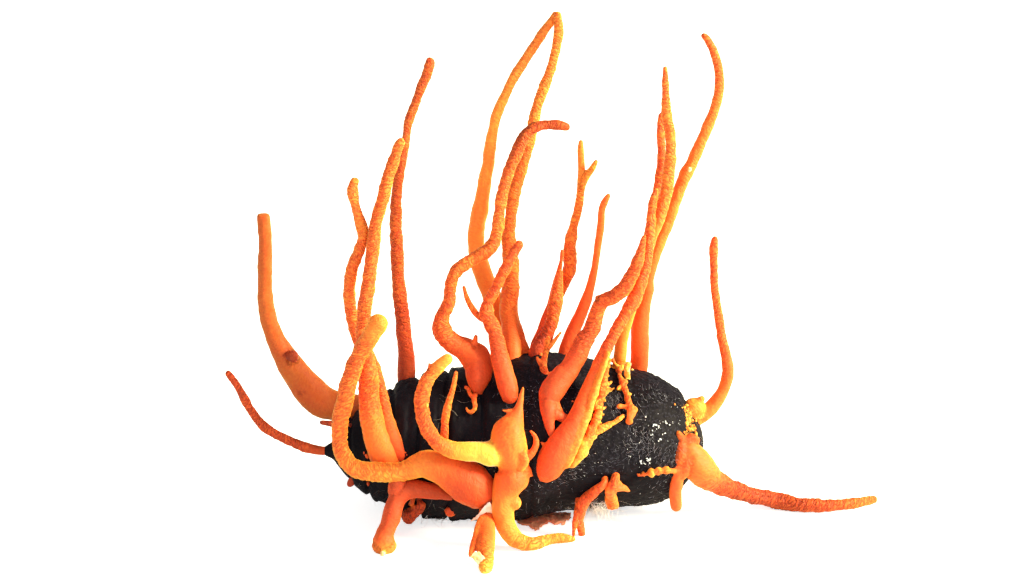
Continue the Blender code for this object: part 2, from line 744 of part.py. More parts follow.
            (7.55, 6.4, -3.5, 0.17),
        ],
    ],
    "strand_low": [
        [
            (6.0, -0.2, SKIN, 0.18),
            (6.5, 0.5, SKIN, 0.26),
            (7.1, 0.82, SKIN, 0.24),
            (7.9, 1.2, SKIN, 0.19),
            (8.7, 1.8, SKIN, 0.14),
        ],
    ],
    "strand_nubby": [
        [
            (9.05, 1.4, SKIN, 0.28),
            (9.2, 2.0, SKIN, 0.36),
            (9.0, 2.9, SKIN, 0.27),
            (8.75, 3.7, SKIN, 0.25),
            (8.5, 4.4, SKIN, 0.22),
            (8.25, 5.05, SKIN, 0.14),
            (7.95, 5.7, SKIN, 0.13),
            (7.7, 6.2, -1.9, 0.11),
        ],
        [(9.1, 2.3, SKIN, 0.20), (8.6, 2.45, SKIN, 0.16), (8.05, 2.45, SKIN, 0.12)],
        [(9.2, 2.0, SKIN, 0.22), (9.65, 2.3, SKIN, 0.15)],
        [(8.6, 4.2, SKIN, 0.16), (8.85, 4.55, SKIN, 0.20)],
    ],
    "nub_left": [
        [(-12.9, -3.2, -1.0, 0.30), (-13.15, -3.6, -1.05, 0.28), (-13.45, -3.98, -1.1, 0.17)],
    ],
    "lump_left": [
        [
            (-7.6, -5.6, SKIN, 0.35),
            (-8.1, -5.95, -4.6, 0.54),
            (-8.6, -6.3, -4.4, 0.58),
            (-9.0, -6.7, -4.2, 0.45),
        ],
        [(-8.3, -4.9, SKIN, 0.22), (-8.4, -5.6, -4.7, 0.24)],
    ],
}
CUT_FLAT = {"stalk_far_left", "toe_stub"}  # pieces whose far end is a flat break

# The torn film on the floor under the belly, and the pale flake at the root of the centre foot.
# Both are thin plates drawn by their edge, as (across, up).
FILM_THICK = 0.25
FILM_EDGE = [
    (-0.3, -6.45),
    (0.0, -6.75),
    (0.6, -7.0),
    (1.0, -7.2),
    (1.5, -7.55),
    (2.2, -7.2),
    (2.5, -6.9),
    (3.2, -7.0),
    (3.9, -7.05),
    (4.3, -6.5),
    (4.4, -6.2),
    (2.0, -6.1),
]
FLAKE_THICK = 0.14
FLAKE_BACK = -7.7
FLAKE_EDGE = [(-2.1, -5.2), (-1.85, -6.15), (-2.7, -6.45), (-3.7, -6.8), (-3.1, -6.2)]

# Materials: colour, roughness
ORANGE = ((0.94, 0.22, 0.035, 1.0), 0.55)
BROWN_ORANGE = ((0.50, 0.12, 0.03, 1.0), 0.65)
PALE = ((0.86, 0.70, 0.62, 1.0), 0.60)
BLACK = ((0.018, 0.015, 0.014, 1.0), 0.55)
FINISHES = {"pupa": BLACK, "film_under": BROWN_ORANGE, "lump_left": BROWN_ORANGE, "flake": PALE}


def blend(table, x):
    """Values of a table of rows (x, value, value) at x, on a smooth curve through the rows."""
    places = [row[0] for row in table]
    after = int(np.clip(np.searchsorted(places, x), 1, len(table) - 1))
    first, last = max(after - 2, 0), min(after + 1, len(table) - 1)
    rows = [np.array(table[index]) for index in (first, after - 1, after, last)]
    span = rows[2][0] - rows[1][0]
    share = (x - rows[1][0]) / span
    slope_in = (rows[2] - rows[0]) / (rows[2][0] - rows[0][0]) * span
    slope_out = (rows[3] - rows[1]) / (rows[3][0] - rows[1][0]) * span
    return hermite(rows[1], rows[2], slope_in, slope_out, share)[1:]


def hermite(start, end, slope_in, slope_out, share):
    """Point at a share of the way from start to end, with the given slopes at the two."""
    square, cube = share**2, share**3
    return (
        start * (2 * cube - 3 * square + 1)
        + slope_in * (cube - 2 * square + share)
        + end * (3 * square - 2 * cube)
        + slope_out * (cube - square)
    )


def pupa_section(x):
    """Height of the pupa's middle over the floor at x, and its radius there."""
    middle, radius = blend(PUPA_OUTLINE, float(np.clip(x, TAIL_END, HEAD_END)))
    if x > HEAD_START:
        share = min((x - HEAD_START) / (HEAD_END - HEAD_START), 1.0)
        radius = HEAD_RADIUS * math.sqrt(1 - share**2)
    for place, depth in FOLDS:
        radius -= depth * math.exp(-(((x - place) / FOLD_WIDTH) ** 2))
    return AXIS_HEIGHT + middle / COS, radius


def place(across, up, toward):
    """World point that appears at (across, up), a given distance in front of the pupa's axis."""
    nearer = 1 - toward / EYE
    across = AIM_ACROSS + (across - AIM_ACROSS) * nearer
    up = AIM_UP + (up - AIM_UP) * nearer
    return np.array([across, up * SIN - toward * COS, AXIS_HEIGHT + up * COS + toward * SIN])


def over_skin(point):
    """Distance of a world point from the pupa's skin, negative inside."""
    middle, radius = pupa_section(point[0])
    return math.hypot(point[1], point[2] - middle) - radius


def locate(across, up, back, radius):
    """World point of a route point, and its radius."""
    if back == FLOOR:
        height = radius - LYING
        toward = (height - AXIS_HEIGHT - up * COS) / (SIN - (up - AIM_UP) * COS / EYE)
    elif back == SKIN:
        toward = 12.0
        while over_skin(place(across, up, toward)) > radius + LIFT:
            toward -= 0.02
    else:
        toward = (up * SIN - back) / (COS + (up - AIM_UP) * SIN / EYE)
    return np.append(place(across, up, toward), radius)


def fine_route(points):
    """Fine steps of (x, y, z, radius) on a smooth curve through the points."""
    padded = [2 * points[0] - points[1], *points, 2 * points[-1] - points[-2]]
    steps = []
    for before, start, end, after in zip(padded, padded[1:], padded[2:], padded[3:]):
        for share in np.linspace(0, 1, SPAN_STEPS, endpoint=False):
            steps.append(hermite(start, end, (end - before) / 2, (after - start) / 2, share))
    steps.append(points[-1])
    return np.array(steps)


def ring_stations(route, flat_end):
    """Places along a route for its rings: rows of (x, y, z, radius), the last one at the tip."""
    steps = fine_route([locate(*point) for point in route])
    lengths = np.concatenate([[0], np.cumsum(np.linalg.norm(np.diff(steps[:, :3], axis=0), axis=1))])
    total, tip_radius = lengths[-1], steps[-1, 3]
    straight_end = total if flat_end else total - tip_radius
    runs = np.diff(steps[:, :3], axis=0)
    runs /= np.linalg.norm(runs, axis=1)[:, None]
    turns = np.arccos(np.clip((runs[1:] * runs[:-1]).sum(axis=1), -1, 1))
    turned = np.concatenate([[0], np.cumsum(turns), [turns.sum()]])
    swelled = np.concatenate([[0], np.cumsum(np.abs(np.diff(steps[:, 3])))])
    rings = lengths / RING_STEP + turned / RING_TURN + swelled / RING_SWELL
    needed = np.interp(straight_end, lengths, rings)
    stops = list(np.interp(np.linspace(0, needed, max(3, math.ceil(needed)) + 1), rings, lengths))
    if not flat_end:
        stops += [total - 0.3 * tip_radius, total]
    return np.array([[np.interp(stop, lengths, steps[:, axis]) for axis in range(4)] for stop in stops])


def add_tube(mesh, route, flat_end=False, extra=0.0):
    """Tube of a route in a bmesh, its radius grown by extra, closed at the root and rounded at the tip."""
    rows = ring_stations(route, flat_end)
    points = [Vector(row[:3]) for row in rows]
    radii = [row[3] + extra for row in rows]
    sides = SIDES if max(radii) - extra > TWIG else TWIG_SIDES
    if not flat_end:
        radii[-2] *= 0.72
        points[-1] = points[-1] + (points[-1] - points[-2]).normalized() * extra
    side = (points[1] - points[0]).orthogonal().normalized()
    rings = []
    last = len(points) - 1
    for index, point in enumerate(points[: last + 1 if flat_end else last]):
        run = (points[min(index + 1, last)] - points[max(index - 1, 0)]).normalized()
        side = (side - run * side.dot(run)).normalized()
        other = run.cross(side)
        ring = []
        for corner in range(sides):
            angle = 2 * math.pi * corner / sides
            offset = (side * math.cos(angle) + other * math.sin(angle)) * radii[index]
            ring.append(mesh.verts.new((point + offset) * MM))
        rings.append(ring)
    for lower, upper in zip(rings, rings[1:]):
        for corner in range(sides):
            following = (corner + 1) % sides
            mesh.faces.new((lower[corner], lower[following], upper[following], upper[corner]))
    mesh.faces.new(reversed(rings[0]))
    if flat_end:
        mesh.faces.new(rings[-1])
        return
    tip = mesh.verts.new(points[-1] * MM)
    for corner in range(sides):
        mesh.faces.new((rings[-1][corner], rings[-1][(corner + 1) % sides], tip))


def add_pupa(mesh, extra=0.0):
    """Turned body of the pupa in a bmesh, its radius grown by extra."""
    stations = set(np.linspace(TAIL_END, HEAD_START, 11))
    head_length = HEAD_END - HEAD_START
    stations |= {HEAD_START + head_length * math.sin(angle) for angle in np.linspace(0.2, 1.45, 7)}
    for fold, _ in FOLDS:
        stations = {station for station in stations if abs(station - fold) > 0.6}
        stations |= {fold - 0.45, fold, fold + 0.45}
    stations |= {TAIL_END}
    rings = []
    for station in sorted(stations):
        middle, radius = pupa_section(station)
        ring = []
        for corner in range(PUPA_SIDES):
            angle = 2 * math.pi * corner / PUPA_SIDES
            y = math.cos(angle) * (radius + extra)
            z = middle + math.sin(angle) * (radius + extra)
            ring.append(mesh.verts.new(Vector((station, y, z)) * MM))
        rings.append(ring)
    for left, right in zip(rings, rings[1:]):
        for corner in range(PUPA_SIDES):
            following = (corner + 1) % PUPA_SIDES
            mesh.faces.new((left[corner], left[following], right[following], right[corner]))
    for ring, end, turn in ((rings[0], TAIL_END - 0.12 - extra, 1), (rings[-1], HEAD_END + extra, -1)):
        pole = mesh.verts.new(Vector((end, 0, pupa_section(end)[0])) * MM)
        for corner in range(PUPA_SIDES):
            following = (corner + 1) % PUPA_SIDES
            mesh.faces.new((ring[following], ring[corner], pole)[::turn])


def add_plate(mesh, corners, offset):
    """Thin plate in a bmesh with the given corners, as thick as the offset."""
    front = [mesh.verts.new(Vector(corner) * MM) for corner in corners]
    back = [mesh.verts.new((Vector(corner) + offset) * MM) for corner in corners]
    mesh.faces.new(front)
    mesh.faces.new(reversed(back))
    for index in range(len(corners)):
        following = (index + 1) % len(corners)
        mesh.faces.new((front[following], front[index], back[index], back[following]))


def add_piece(name, mesh):
    """Object of a bmesh, with its faces turned outward, linked to the scene."""
    bmesh.ops.recalc_face_normals(mesh, faces=mesh.faces)
    data = bpy.data.meshes.new(name)
    mesh.to_mesh(data)
    mesh.free()
    piece = bpy.data.objects.new(name, data)
    bpy.context.scene.collection.objects.link(piece)
    return piece


def drop(piece):
    """Remove an object and its mesh."""
    data = piece.data
    bpy.data.objects.remove(piece)
    bpy.data.meshes.remove(data)


def combine(piece, tool, operation):
    """Apply one exact Boolean to a piece and remove the tool."""
    tool.hide_render = True
    tool.display_type = "WIRE"
    modifier = piece.modifiers.new("Combine", "BOOLEAN")
    modifier.operation = operation
    modifier.object = tool
    modifier.solver = "EXACT"
    modifier.use_self = True
    graph = bpy.context.evaluated_depsgraph_get()
    old = piece.data
    new = bpy.data.meshes.new_from_object(piece.evaluated_get(graph))
    piece.modifiers.clear()
    piece.data = new
    bpy.data.meshes.remove(old)
    new.name = piece.name
    drop(tool)


def keep_largest_body(piece):
    """Delete the crumbs and slivers that a cut leaves, and keep the largest body."""
    mesh = bmesh.new()
    mesh.from_mesh(piece.data)
    left = set(mesh.verts)
    bodies = []
    while left:
        body, edge = set(), [left.pop()]
        while edge:
            vert = edge.pop()
            body.add(vert)
            reached = {link.other_vert(vert) for link in vert.link_edges} & left
            left -= reached
            edge.extend(reached)
        bodies.append(body)
    largest = max(bodies, key=len)
    crumbs = [vert for vert in mesh.verts if vert not in largest]
    bmesh.ops.delete(mesh, geom=crumbs, context="VERTS")
    bmesh.ops.triangulate(mesh, faces=mesh.faces)
    bmesh.ops.remove_doubles(mesh, verts=mesh.verts, dist=SLIVER)
    bmesh.ops.dissolve_degenerate(mesh, edges=mesh.edges, dist=SLIVER)
    flaps = [face for face in mesh.faces if {1, 3} <= {len(edge.link_faces) for edge in face.edges}]
    bmesh.ops.delete(mesh, geom=flaps, context="FACES")
    mesh.to_mesh(piece.data)
    mesh.free()


def cut_at_floor(piece):
    """Cut a piece flat at the floor and close it there."""
    if min(vert.co.z for vert in piece.data.vertices) > 0:
        return
    mesh = bmesh.new()
    mesh.from_mesh(piece.data)
    geometry = mesh.verts[:] + mesh.edges[:] + mesh.faces[:]
    floor = {"plane_co": (0, 0, 0), "plane_no": (0, 0, -1), "clear_outer": True, "dist": 1e-9}
    cut = bmesh.ops.bisect_plane(mesh, geom=geometry, **floor)
    rim = [item for item in cut["geom_cut"] if isinstance(item, bmesh.types.BMEdge)]
    bmesh.ops.contextual_create(mesh, geom=rim)
    bmesh.ops.recalc_face_normals(mesh, faces=mesh.faces)
    mesh.to_mesh(piece.data)
    mesh.free()


def surface_tree(piece):
    """Search tree of a piece's faces, for finding overlaps."""
    corners = [vert.co for vert in piece.data.vertices]
    return BVHTree.FromPolygons(corners, [face.vertices for face in piece.data.polygons])


def give_way(piece, cutter):
    """Cut a piece by a grown copy of its neighbour where the two meet."""
    if surface_tree(piece).overlap(surface_tree(cutter)):
        combine(piece, cutter, "DIFFERENCE")
    else:
        drop(cutter)


def make_pupa(extra=0.0):
    """The pupa, or a grown copy of it that cuts what grows from it."""
    mesh = bmesh.new()
    add_pupa(mesh, extra)
    return add_piece("pupa", mesh)


def make_tube(name, route, flat_end=False, extra=0.0):
    """One swept tube as an object."""
    mesh = bmesh.new()
    add_tube(mesh, route, flat_end, extra)
    return add_piece(name, mesh)


def make_stalk(name, earlier):
    """A stalk with its branches, cut where it meets the pupa and the pieces made before it."""
    main, *branches = STALKS[name]
    stalk = make_tube(name, main, name in CUT_FLAT)
    for route in branches:
        combine(stalk, make_tube("branch", route), "UNION")
    give_way(stalk, make_pupa(GAP))
    for other in earlier:
        for route in STALKS[other]:
            give_way(stalk, make_tube("cutter", route, other in CUT_FLAT, GAP))
    cut_at_floor(stalk)
    keep_largest_body(stalk)
    return stalk


def make_film():
    """The torn film, flat on the floor under the belly."""
    corners = [locate(across, up, FLOOR, LYING)[:3] for across, up in FILM_EDGE]
    mesh = bmesh.new()
    add_plate(mesh, corners, Vector((0, 0, FILM_THICK)))
    film = add_piece("film_under", mesh)
    give_way(film, make_pupa(GAP))
    keep_largest_body(film)
    return film


def make_flake():
    """The pale flake, a torn scrap in front of the centre foot's root."""
    corners = [locate(across, up, FLAKE_BACK, 0.0)[:3] for across, up in FLAKE_EDGE]
    mesh = bmesh.new()
    add_plate(mesh, corners, Vector((0, FLAKE_THICK, 0)))
    flake = add_piece("flake", mesh)
    for name in ("foot_centre", "loop_left", "curl_front"):
        for route in STALKS[name]:
            give_way(flake, make_tube("cutter", route, False, GAP))
    keep_largest_body(flake)
    return flake


def finish(piece):
    """Give a piece its own material and round shading."""
    colour, roughness = FINISHES.get(piece.name, ORANGE)
    material = bpy.data.materials.new(piece.name)
    material.use_nodes = True
    shader = material.node_tree.nodes["Principled BSDF"]
    shader.inputs["Base Color"].default_value = colour
    shader.inputs["Roughness"].default_value = roughness
    shader.inputs["Metallic"].default_value = 0.0
    piece.data.materials.clear()
    piece.data.materials.append(material)
    piece.data.shade_smooth()
    piece.data.set_sharp_from_angle(angle=math.radians(50))


def main():
    for item in list(bpy.data.objects):
        bpy.data.objects.remove(item)
    pupa = make_pupa()
    cut_at_floor(pupa)
    pieces = [pupa]
    earlier = []
    for name in STALKS:
        pieces.append(make_stalk(name, earlier))
        earlier.append(name)
    pieces.append(make_film())
    pieces.append(make_flake())
    for piece in pieces:
        finish(piece)


main()
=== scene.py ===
# %% [markdown]
# # Orange cordyceps on a black silkworm pupa
# A dead silkworm pupa lies on its belly, and a cordyceps fungus has burst out of it in some forty
# stalks. The solids of the pupa and of each stalk are already made at their real size. This script
# dresses each one in its real surface: fleshy, grainy stalks, and a rough black pupa with dust and
# fuzz on it. It shows how to sweep tubes along drawn routes, how to melt them into one skin, and
# how to raise a fine texture on them in mesh code.

# %% Load the solids
import functools
import itertools
import math

import bpy
import numpy as np
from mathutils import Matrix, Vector
from mathutils.kdtree import KDTree


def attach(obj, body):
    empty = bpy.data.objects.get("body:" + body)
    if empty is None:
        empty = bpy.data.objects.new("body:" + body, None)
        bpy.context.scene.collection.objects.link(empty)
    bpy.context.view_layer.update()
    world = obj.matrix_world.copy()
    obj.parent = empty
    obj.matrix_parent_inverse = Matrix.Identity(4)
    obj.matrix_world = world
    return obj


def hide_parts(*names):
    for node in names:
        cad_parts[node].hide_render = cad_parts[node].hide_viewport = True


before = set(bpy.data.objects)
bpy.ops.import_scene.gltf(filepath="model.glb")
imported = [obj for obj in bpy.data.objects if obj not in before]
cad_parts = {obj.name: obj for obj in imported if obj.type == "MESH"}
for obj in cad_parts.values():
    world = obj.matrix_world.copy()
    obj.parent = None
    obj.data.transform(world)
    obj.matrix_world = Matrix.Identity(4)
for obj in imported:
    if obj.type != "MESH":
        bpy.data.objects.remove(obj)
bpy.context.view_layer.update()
MM = 0.001

# %% [markdown]
# ## The camera
# The photograph looks down on the pupa from the front at about twenty degrees, from far away with a
# long lens. The camera stands that far from the pupa's axis and looks at the middle of the stalks.
# Places on the object were read off the photograph as millimetres across and up from the pupa's
# axis, so the same numbers aim the camera.

# %% Camera
TILT = math.radians(20.0)  # how far the view looks down
SIN, COS = math.sin(TILT), math.cos(TILT)
EYE = 343.0  # mm from the camera to the pupa's axis
AXIS_HEIGHT = 6.3  # mm of the pupa's axis over the floor
AIM_ACROSS, AIM_UP = -0.16, 11.8  # mm, the middle of the view
NUDGE = 0.09  # mm that the camera stands further right, so that the two pictures line up

toward_eye = Vector((0, -COS, SIN))
view_up = Vector((0, SIN, COS))
aim = Vector((AIM_ACROSS + NUDGE, 0, AXIS_HEIGHT)) + view_up * AIM_UP

camera_data = bpy.data.cameras.new("camera")
camera_data.lens = 150.0
camera_data.sensor_width = 36.0
camera_data.clip_start = 0.01
camera = bpy.data.objects.new("camera", camera_data)
camera.location = (aim + toward_eye * EYE) * MM
camera.rotation_euler = (math.pi / 2 - TILT, 0, 0)
bpy.context.scene.collection.objects.link(camera)
bpy.context.scene.camera = camera
print("camera at", tuple(round(value, 4) for value in camera.location))

# %% [markdown]
# ## The floor
# The photograph has a pure white ground with hardly a shadow. A plain white floor gives that, and
# it throws light back from below, onto the undersides of the stalks.

# %% Floor
def new_piece(name, corners, faces):
    """A linked object made from plain lists of corners and faces."""
    mesh = bpy.data.meshes.new(name)
    mesh.from_pydata([tuple(corner) for corner in corners], [], [tuple(face) for face in faces])
    piece = bpy.data.objects.new(name, mesh)
    bpy.context.scene.collection.objects.link(piece)
    return piece


def new_material(name, **constants):
    """A material, its nodes, and its Principled shader with the named sockets set to constants."""
    material = bpy.data.materials.new(name)
    material.use_nodes = True
    shader = material.node_tree.nodes["Principled BSDF"]
    for socket, value in constants.items():
        shader.inputs[socket.replace("_", " ")].default_value = value
    return material, material.node_tree, shader


HALF = 0.6  # metres from the middle of the floor to its edge
SINK = 0.00002  # metres that the floor lies under the object, so that the two never flicker
WHITE = (1.0, 1.0, 1.0, 1)
floor_corners = [(-HALF, -HALF, 0), (HALF, -HALF, 0), (HALF, HALF, 0), (-HALF, HALF, 0)]
floor = new_piece("floor", floor_corners, [(0, 1, 2, 3)])
floor.location.z = -SINK
white_floor, floor_tree, floor_shader = new_material(
    "white_floor", Base_Color=(0.93, 0.93, 0.93, 1), Roughness=0.9, Emission_Color=WHITE,
)
floor.data.materials.append(white_floor)
print("floor:", 2 * HALF, "m across")

# %% [markdown]
# ## The light
# A strong soft light from the upper right turns the lit flesh from orange to yellow. Sun lamps would
# cast hard shadows, which the photograph doesn't have, so two square panels are used as soft boxes
# are round a product table: a strong warm one high on the right, and a weak one low in front. The
# world fills the shadows at half strength. Light Path tells the camera's own rays from the others,
# so the ground looks pure white and yet doesn't wash out the flesh. The plain Standard view keeps
# such strong colours, where a film-like one would wash them out.

# %% Light
CAMERA_GLOW = 0.68  # how much whiter the camera sees the floor than its light makes it
FILL = 0.47  # strength of the room's light on the object
PANEL_AIM = Vector((0, 0, 0.014))  # metres, the middle of the object


def by_camera(tree, operation, value):
    """A sum of a number with 1 where the camera looks, and with 0 where light only bounces."""
    node = tree.nodes.new("ShaderNodeMath")
    node.operation = operation
    node.inputs[1].default_value = value
    tree.links.new(tree.nodes.new("ShaderNodeLightPath").outputs["Is Camera Ray"], node.inputs[0])
    return node.outputs[0]


def add_panel(name, spot, size, power, colour):
    """A square light panel at a spot in metres, turned to the middle of the object."""
    lamp = bpy.data.lights.new(name, "AREA")
    lamp.color = colour
    lamp.shape = "SQUARE"
    lamp.size = size
    lamp.energy = power
    panel = bpy.data.objects.new(name, lamp)
    panel.location = spot
    panel.rotation_euler = (PANEL_AIM - Vector(spot)).to_track_quat("-Z", "Y").to_euler()
    scene.collection.objects.link(panel)


scene = bpy.context.scene
scene.view_settings.view_transform = "Standard"
world = bpy.data.worlds.new("white_room")
scene.world = world
world.use_nodes = True
tree = world.node_tree
background = tree.nodes["Background"]
background.inputs["Color"].default_value = WHITE
tree.links.new(by_camera(tree, "MAXIMUM", FILL), background.inputs["Strength"])
glow = by_camera(floor_tree, "MULTIPLY", CAMERA_GLOW)
floor_tree.links.new(glow, floor_shader.inputs["Emission Strength"])
add_panel("key_panel", (0.48, -0.12, 0.26), size=0.16, power=11.0, colour=(1.0, 0.86, 0.55))
add_panel("front_panel", (-0.12, -0.50, 0.30), size=0.30, power=0.95, colour=(1.0, 0.95, 0.85))
print("lights:", [item.name for item in bpy.data.lights])

# %% [markdown]
# ## Smooth noise and grains
# Two patterns make nearly all the relief. Smooth noise gives slow swellings. A pattern of grains,
# with a middle in each cell of a shaken grid, gives the pimples of the flesh and the cracks between
# them. Both work on whole arrays of points at once, so that a million points take seconds, and
# both give the same numbers on every run.

# %% Patterns
# Large numbers that mix the place of a cell well, and the largest number that comes out
PRIMES = np.array([73856093, 19349663, 83492791])
SEED_STEP, MIXER, MOST = 7919, 1274126177, 0xFFFFFF


def scramble(cells, seed):
    """A repeatable number from 0 to 1 for each cell of a grid."""
    mixed = (cells * PRIMES).sum(axis=-1) + seed * SEED_STEP
    mixed = (mixed ^ (mixed >> 13)) * MIXER
    mixed = mixed ^ (mixed >> 16)
    return (mixed & MOST) / float(MOST)


def soft_noise(points, size, seed=0):
    """Smooth noise from -1 to 1, with swellings of the given size."""
    scaled = points / size
    base = np.floor(scaled).astype(np.int64)
    share = scaled - base
    share = share * share * (3 - 2 * share)
    total = np.zeros(len(points))
    for corner in itertools.product((0, 1), repeat=3):
        weight = np.prod(np.where(np.array(corner) == 1, share, 1 - share), axis=1)
        total += weight * scramble(base + np.array(corner), seed)
    return total * 2 - 1


def grains(points, size, seed=0):
    """How far each point is from the middle of its grain, and from the crack to the next grain."""
    scaled = points / size
    base = np.floor(scaled).astype(np.int64)
    nearest = np.full(len(points), 9.0)
    second = np.full(len(points), 9.0)
    for step in itertools.product((-1, 0, 1), repeat=3):
        cells = base + np.array(step)
        middles = cells + np.stack([scramble(cells, seed + axis + 1) for axis in range(3)], axis=1)
        distance = np.linalg.norm(scaled - middles, axis=1)
        second = np.minimum(second, np.maximum(nearest, distance))
        nearest = np.minimum(nearest, distance)
    return nearest, second - nearest


def ramp(low, high, value):
    """0 below low, 1 above high, and a smooth step between."""
    share = np.clip((value - low) / (high - low), 0, 1)
    return share * share * (3 - 2 * share)


def hump(away, width):
    """1 where away is 0, and falling smoothly to nothing over about twice the width."""
    return np.exp(-((away / width) ** 2))


def layers(points, *rows):
    """Smooth noises on top of each other, with the (height, size, seed) of each."""
    return sum(height * soft_noise(points, size, seed) for height, size, seed in rows)


test = np.random.default_rng(1).random((1000, 3))
print("noise from", round(soft_noise(test, 0.1).min(), 2), "to", round(soft_noise(test, 0.1).max(), 2))

# %% [markdown]
# ## The shape of the pupa
# A silkworm pupa is a blunt spindle: a pointed tail, an abdomen of rings, and a smooth round head
# end. Its outline is a short table of heights and radii along its length, and the folds between
# the rings are dips in the radius. The stalks need the same outline, because some creep over it.

# %% Pupa outline
TAIL_END, HEAD_START, HEAD_END = -15.3, 9.0, 15.0  # mm along the pupa
HEAD_RADIUS = 5.5
# (mm along the pupa, height of the middle in the view, radius)
PUPA_OUTLINE = np.array([
    (-15.3, -1.1, 0.35), (-14.6, -1.05, 0.8), (-13.5, -0.9, 2.35), (-12, -1.05, 3.45),
    (-10, -0.75, 4.65), (-8, -0.65, 5.45), (-6, -0.6, 5.92), (-4, -0.5, 6.12), (0, 0.05, 6.62),
    (4, 0.4, 6.25), (7, 0.1, 5.85), (9, -0.05, 5.5), (12, -0.3, 4.6), (15, -0.5, 0.35),
])
# The folds between the rings of the abdomen: (mm along the pupa, depth)
FOLDS = [(-13.1, 0.22), (-11.7, 0.22), (-9.7, 0.24), (-7.7, 0.24), (-5.4, 0.22), (-2.5, 0.16), (1.2, 0.1)]


def bend(start, leaving, end, arriving, share):
    """The smooth way from start to end that has these slopes where it leaves and arrives."""
    square, cube = share**2, share**3
    return (
        start * (2 * cube - 3 * square + 1)
        + leaving * (cube - 2 * square + share)
        + end * (3 * square - 2 * cube)
        + arriving * (cube - square)
    )


def curve_through(table, places):
    """Values of a table at some places, on a smooth curve through its rows."""
    xs, values = table[:, 0], table[:, 1:]
    slopes = np.gradient(values, xs, axis=0)
    after = np.clip(np.searchsorted(xs, places), 1, len(xs) - 1)
    before = after - 1
    span = (xs[after] - xs[before])[:, None]
    share = (places - xs[before])[:, None] / span
    return bend(values[before], slopes[before] * span, values[after], slopes[after] * span, share)


def pupa_rings(places):
    """Height over the floor of the pupa's middle, and its radius, at some places along it."""
    places = np.clip(np.asarray(places, float), TAIL_END, HEAD_END)
    middle, radius = curve_through(PUPA_OUTLINE, places).T
    share = np.clip((places - HEAD_START) / (HEAD_END - HEAD_START), 0, 1)
    radius = np.where(places > HEAD_START, HEAD_RADIUS * np.sqrt(1 - share**2), radius)
    return AXIS_HEIGHT + middle / COS, radius


def over_skin(points):
    """How far points are outside the pupa's skin, in mm."""
    middle, radius = pupa_rings(points[:, 0])
    return np.hypot(points[:, 1], points[:, 2] - middle) - radius


print("pupa", HEAD_END - TAIL_END, "mm long,", round(2 * pupa_rings([0])[1][0], 1), "mm thick")

# %% [markdown]
# ## Where the stalks run
# Each stalk is a tube swept along a route of a few points, from the root to the tip. A point says
# how far across and how far up it appears, how far back it stands, and how thick the stalk is
# there, all in millimetres. FLOOR puts a point on the floor, and SKIN puts it on the pupa. The
# first route of a piece is its main one, and the others are branches.

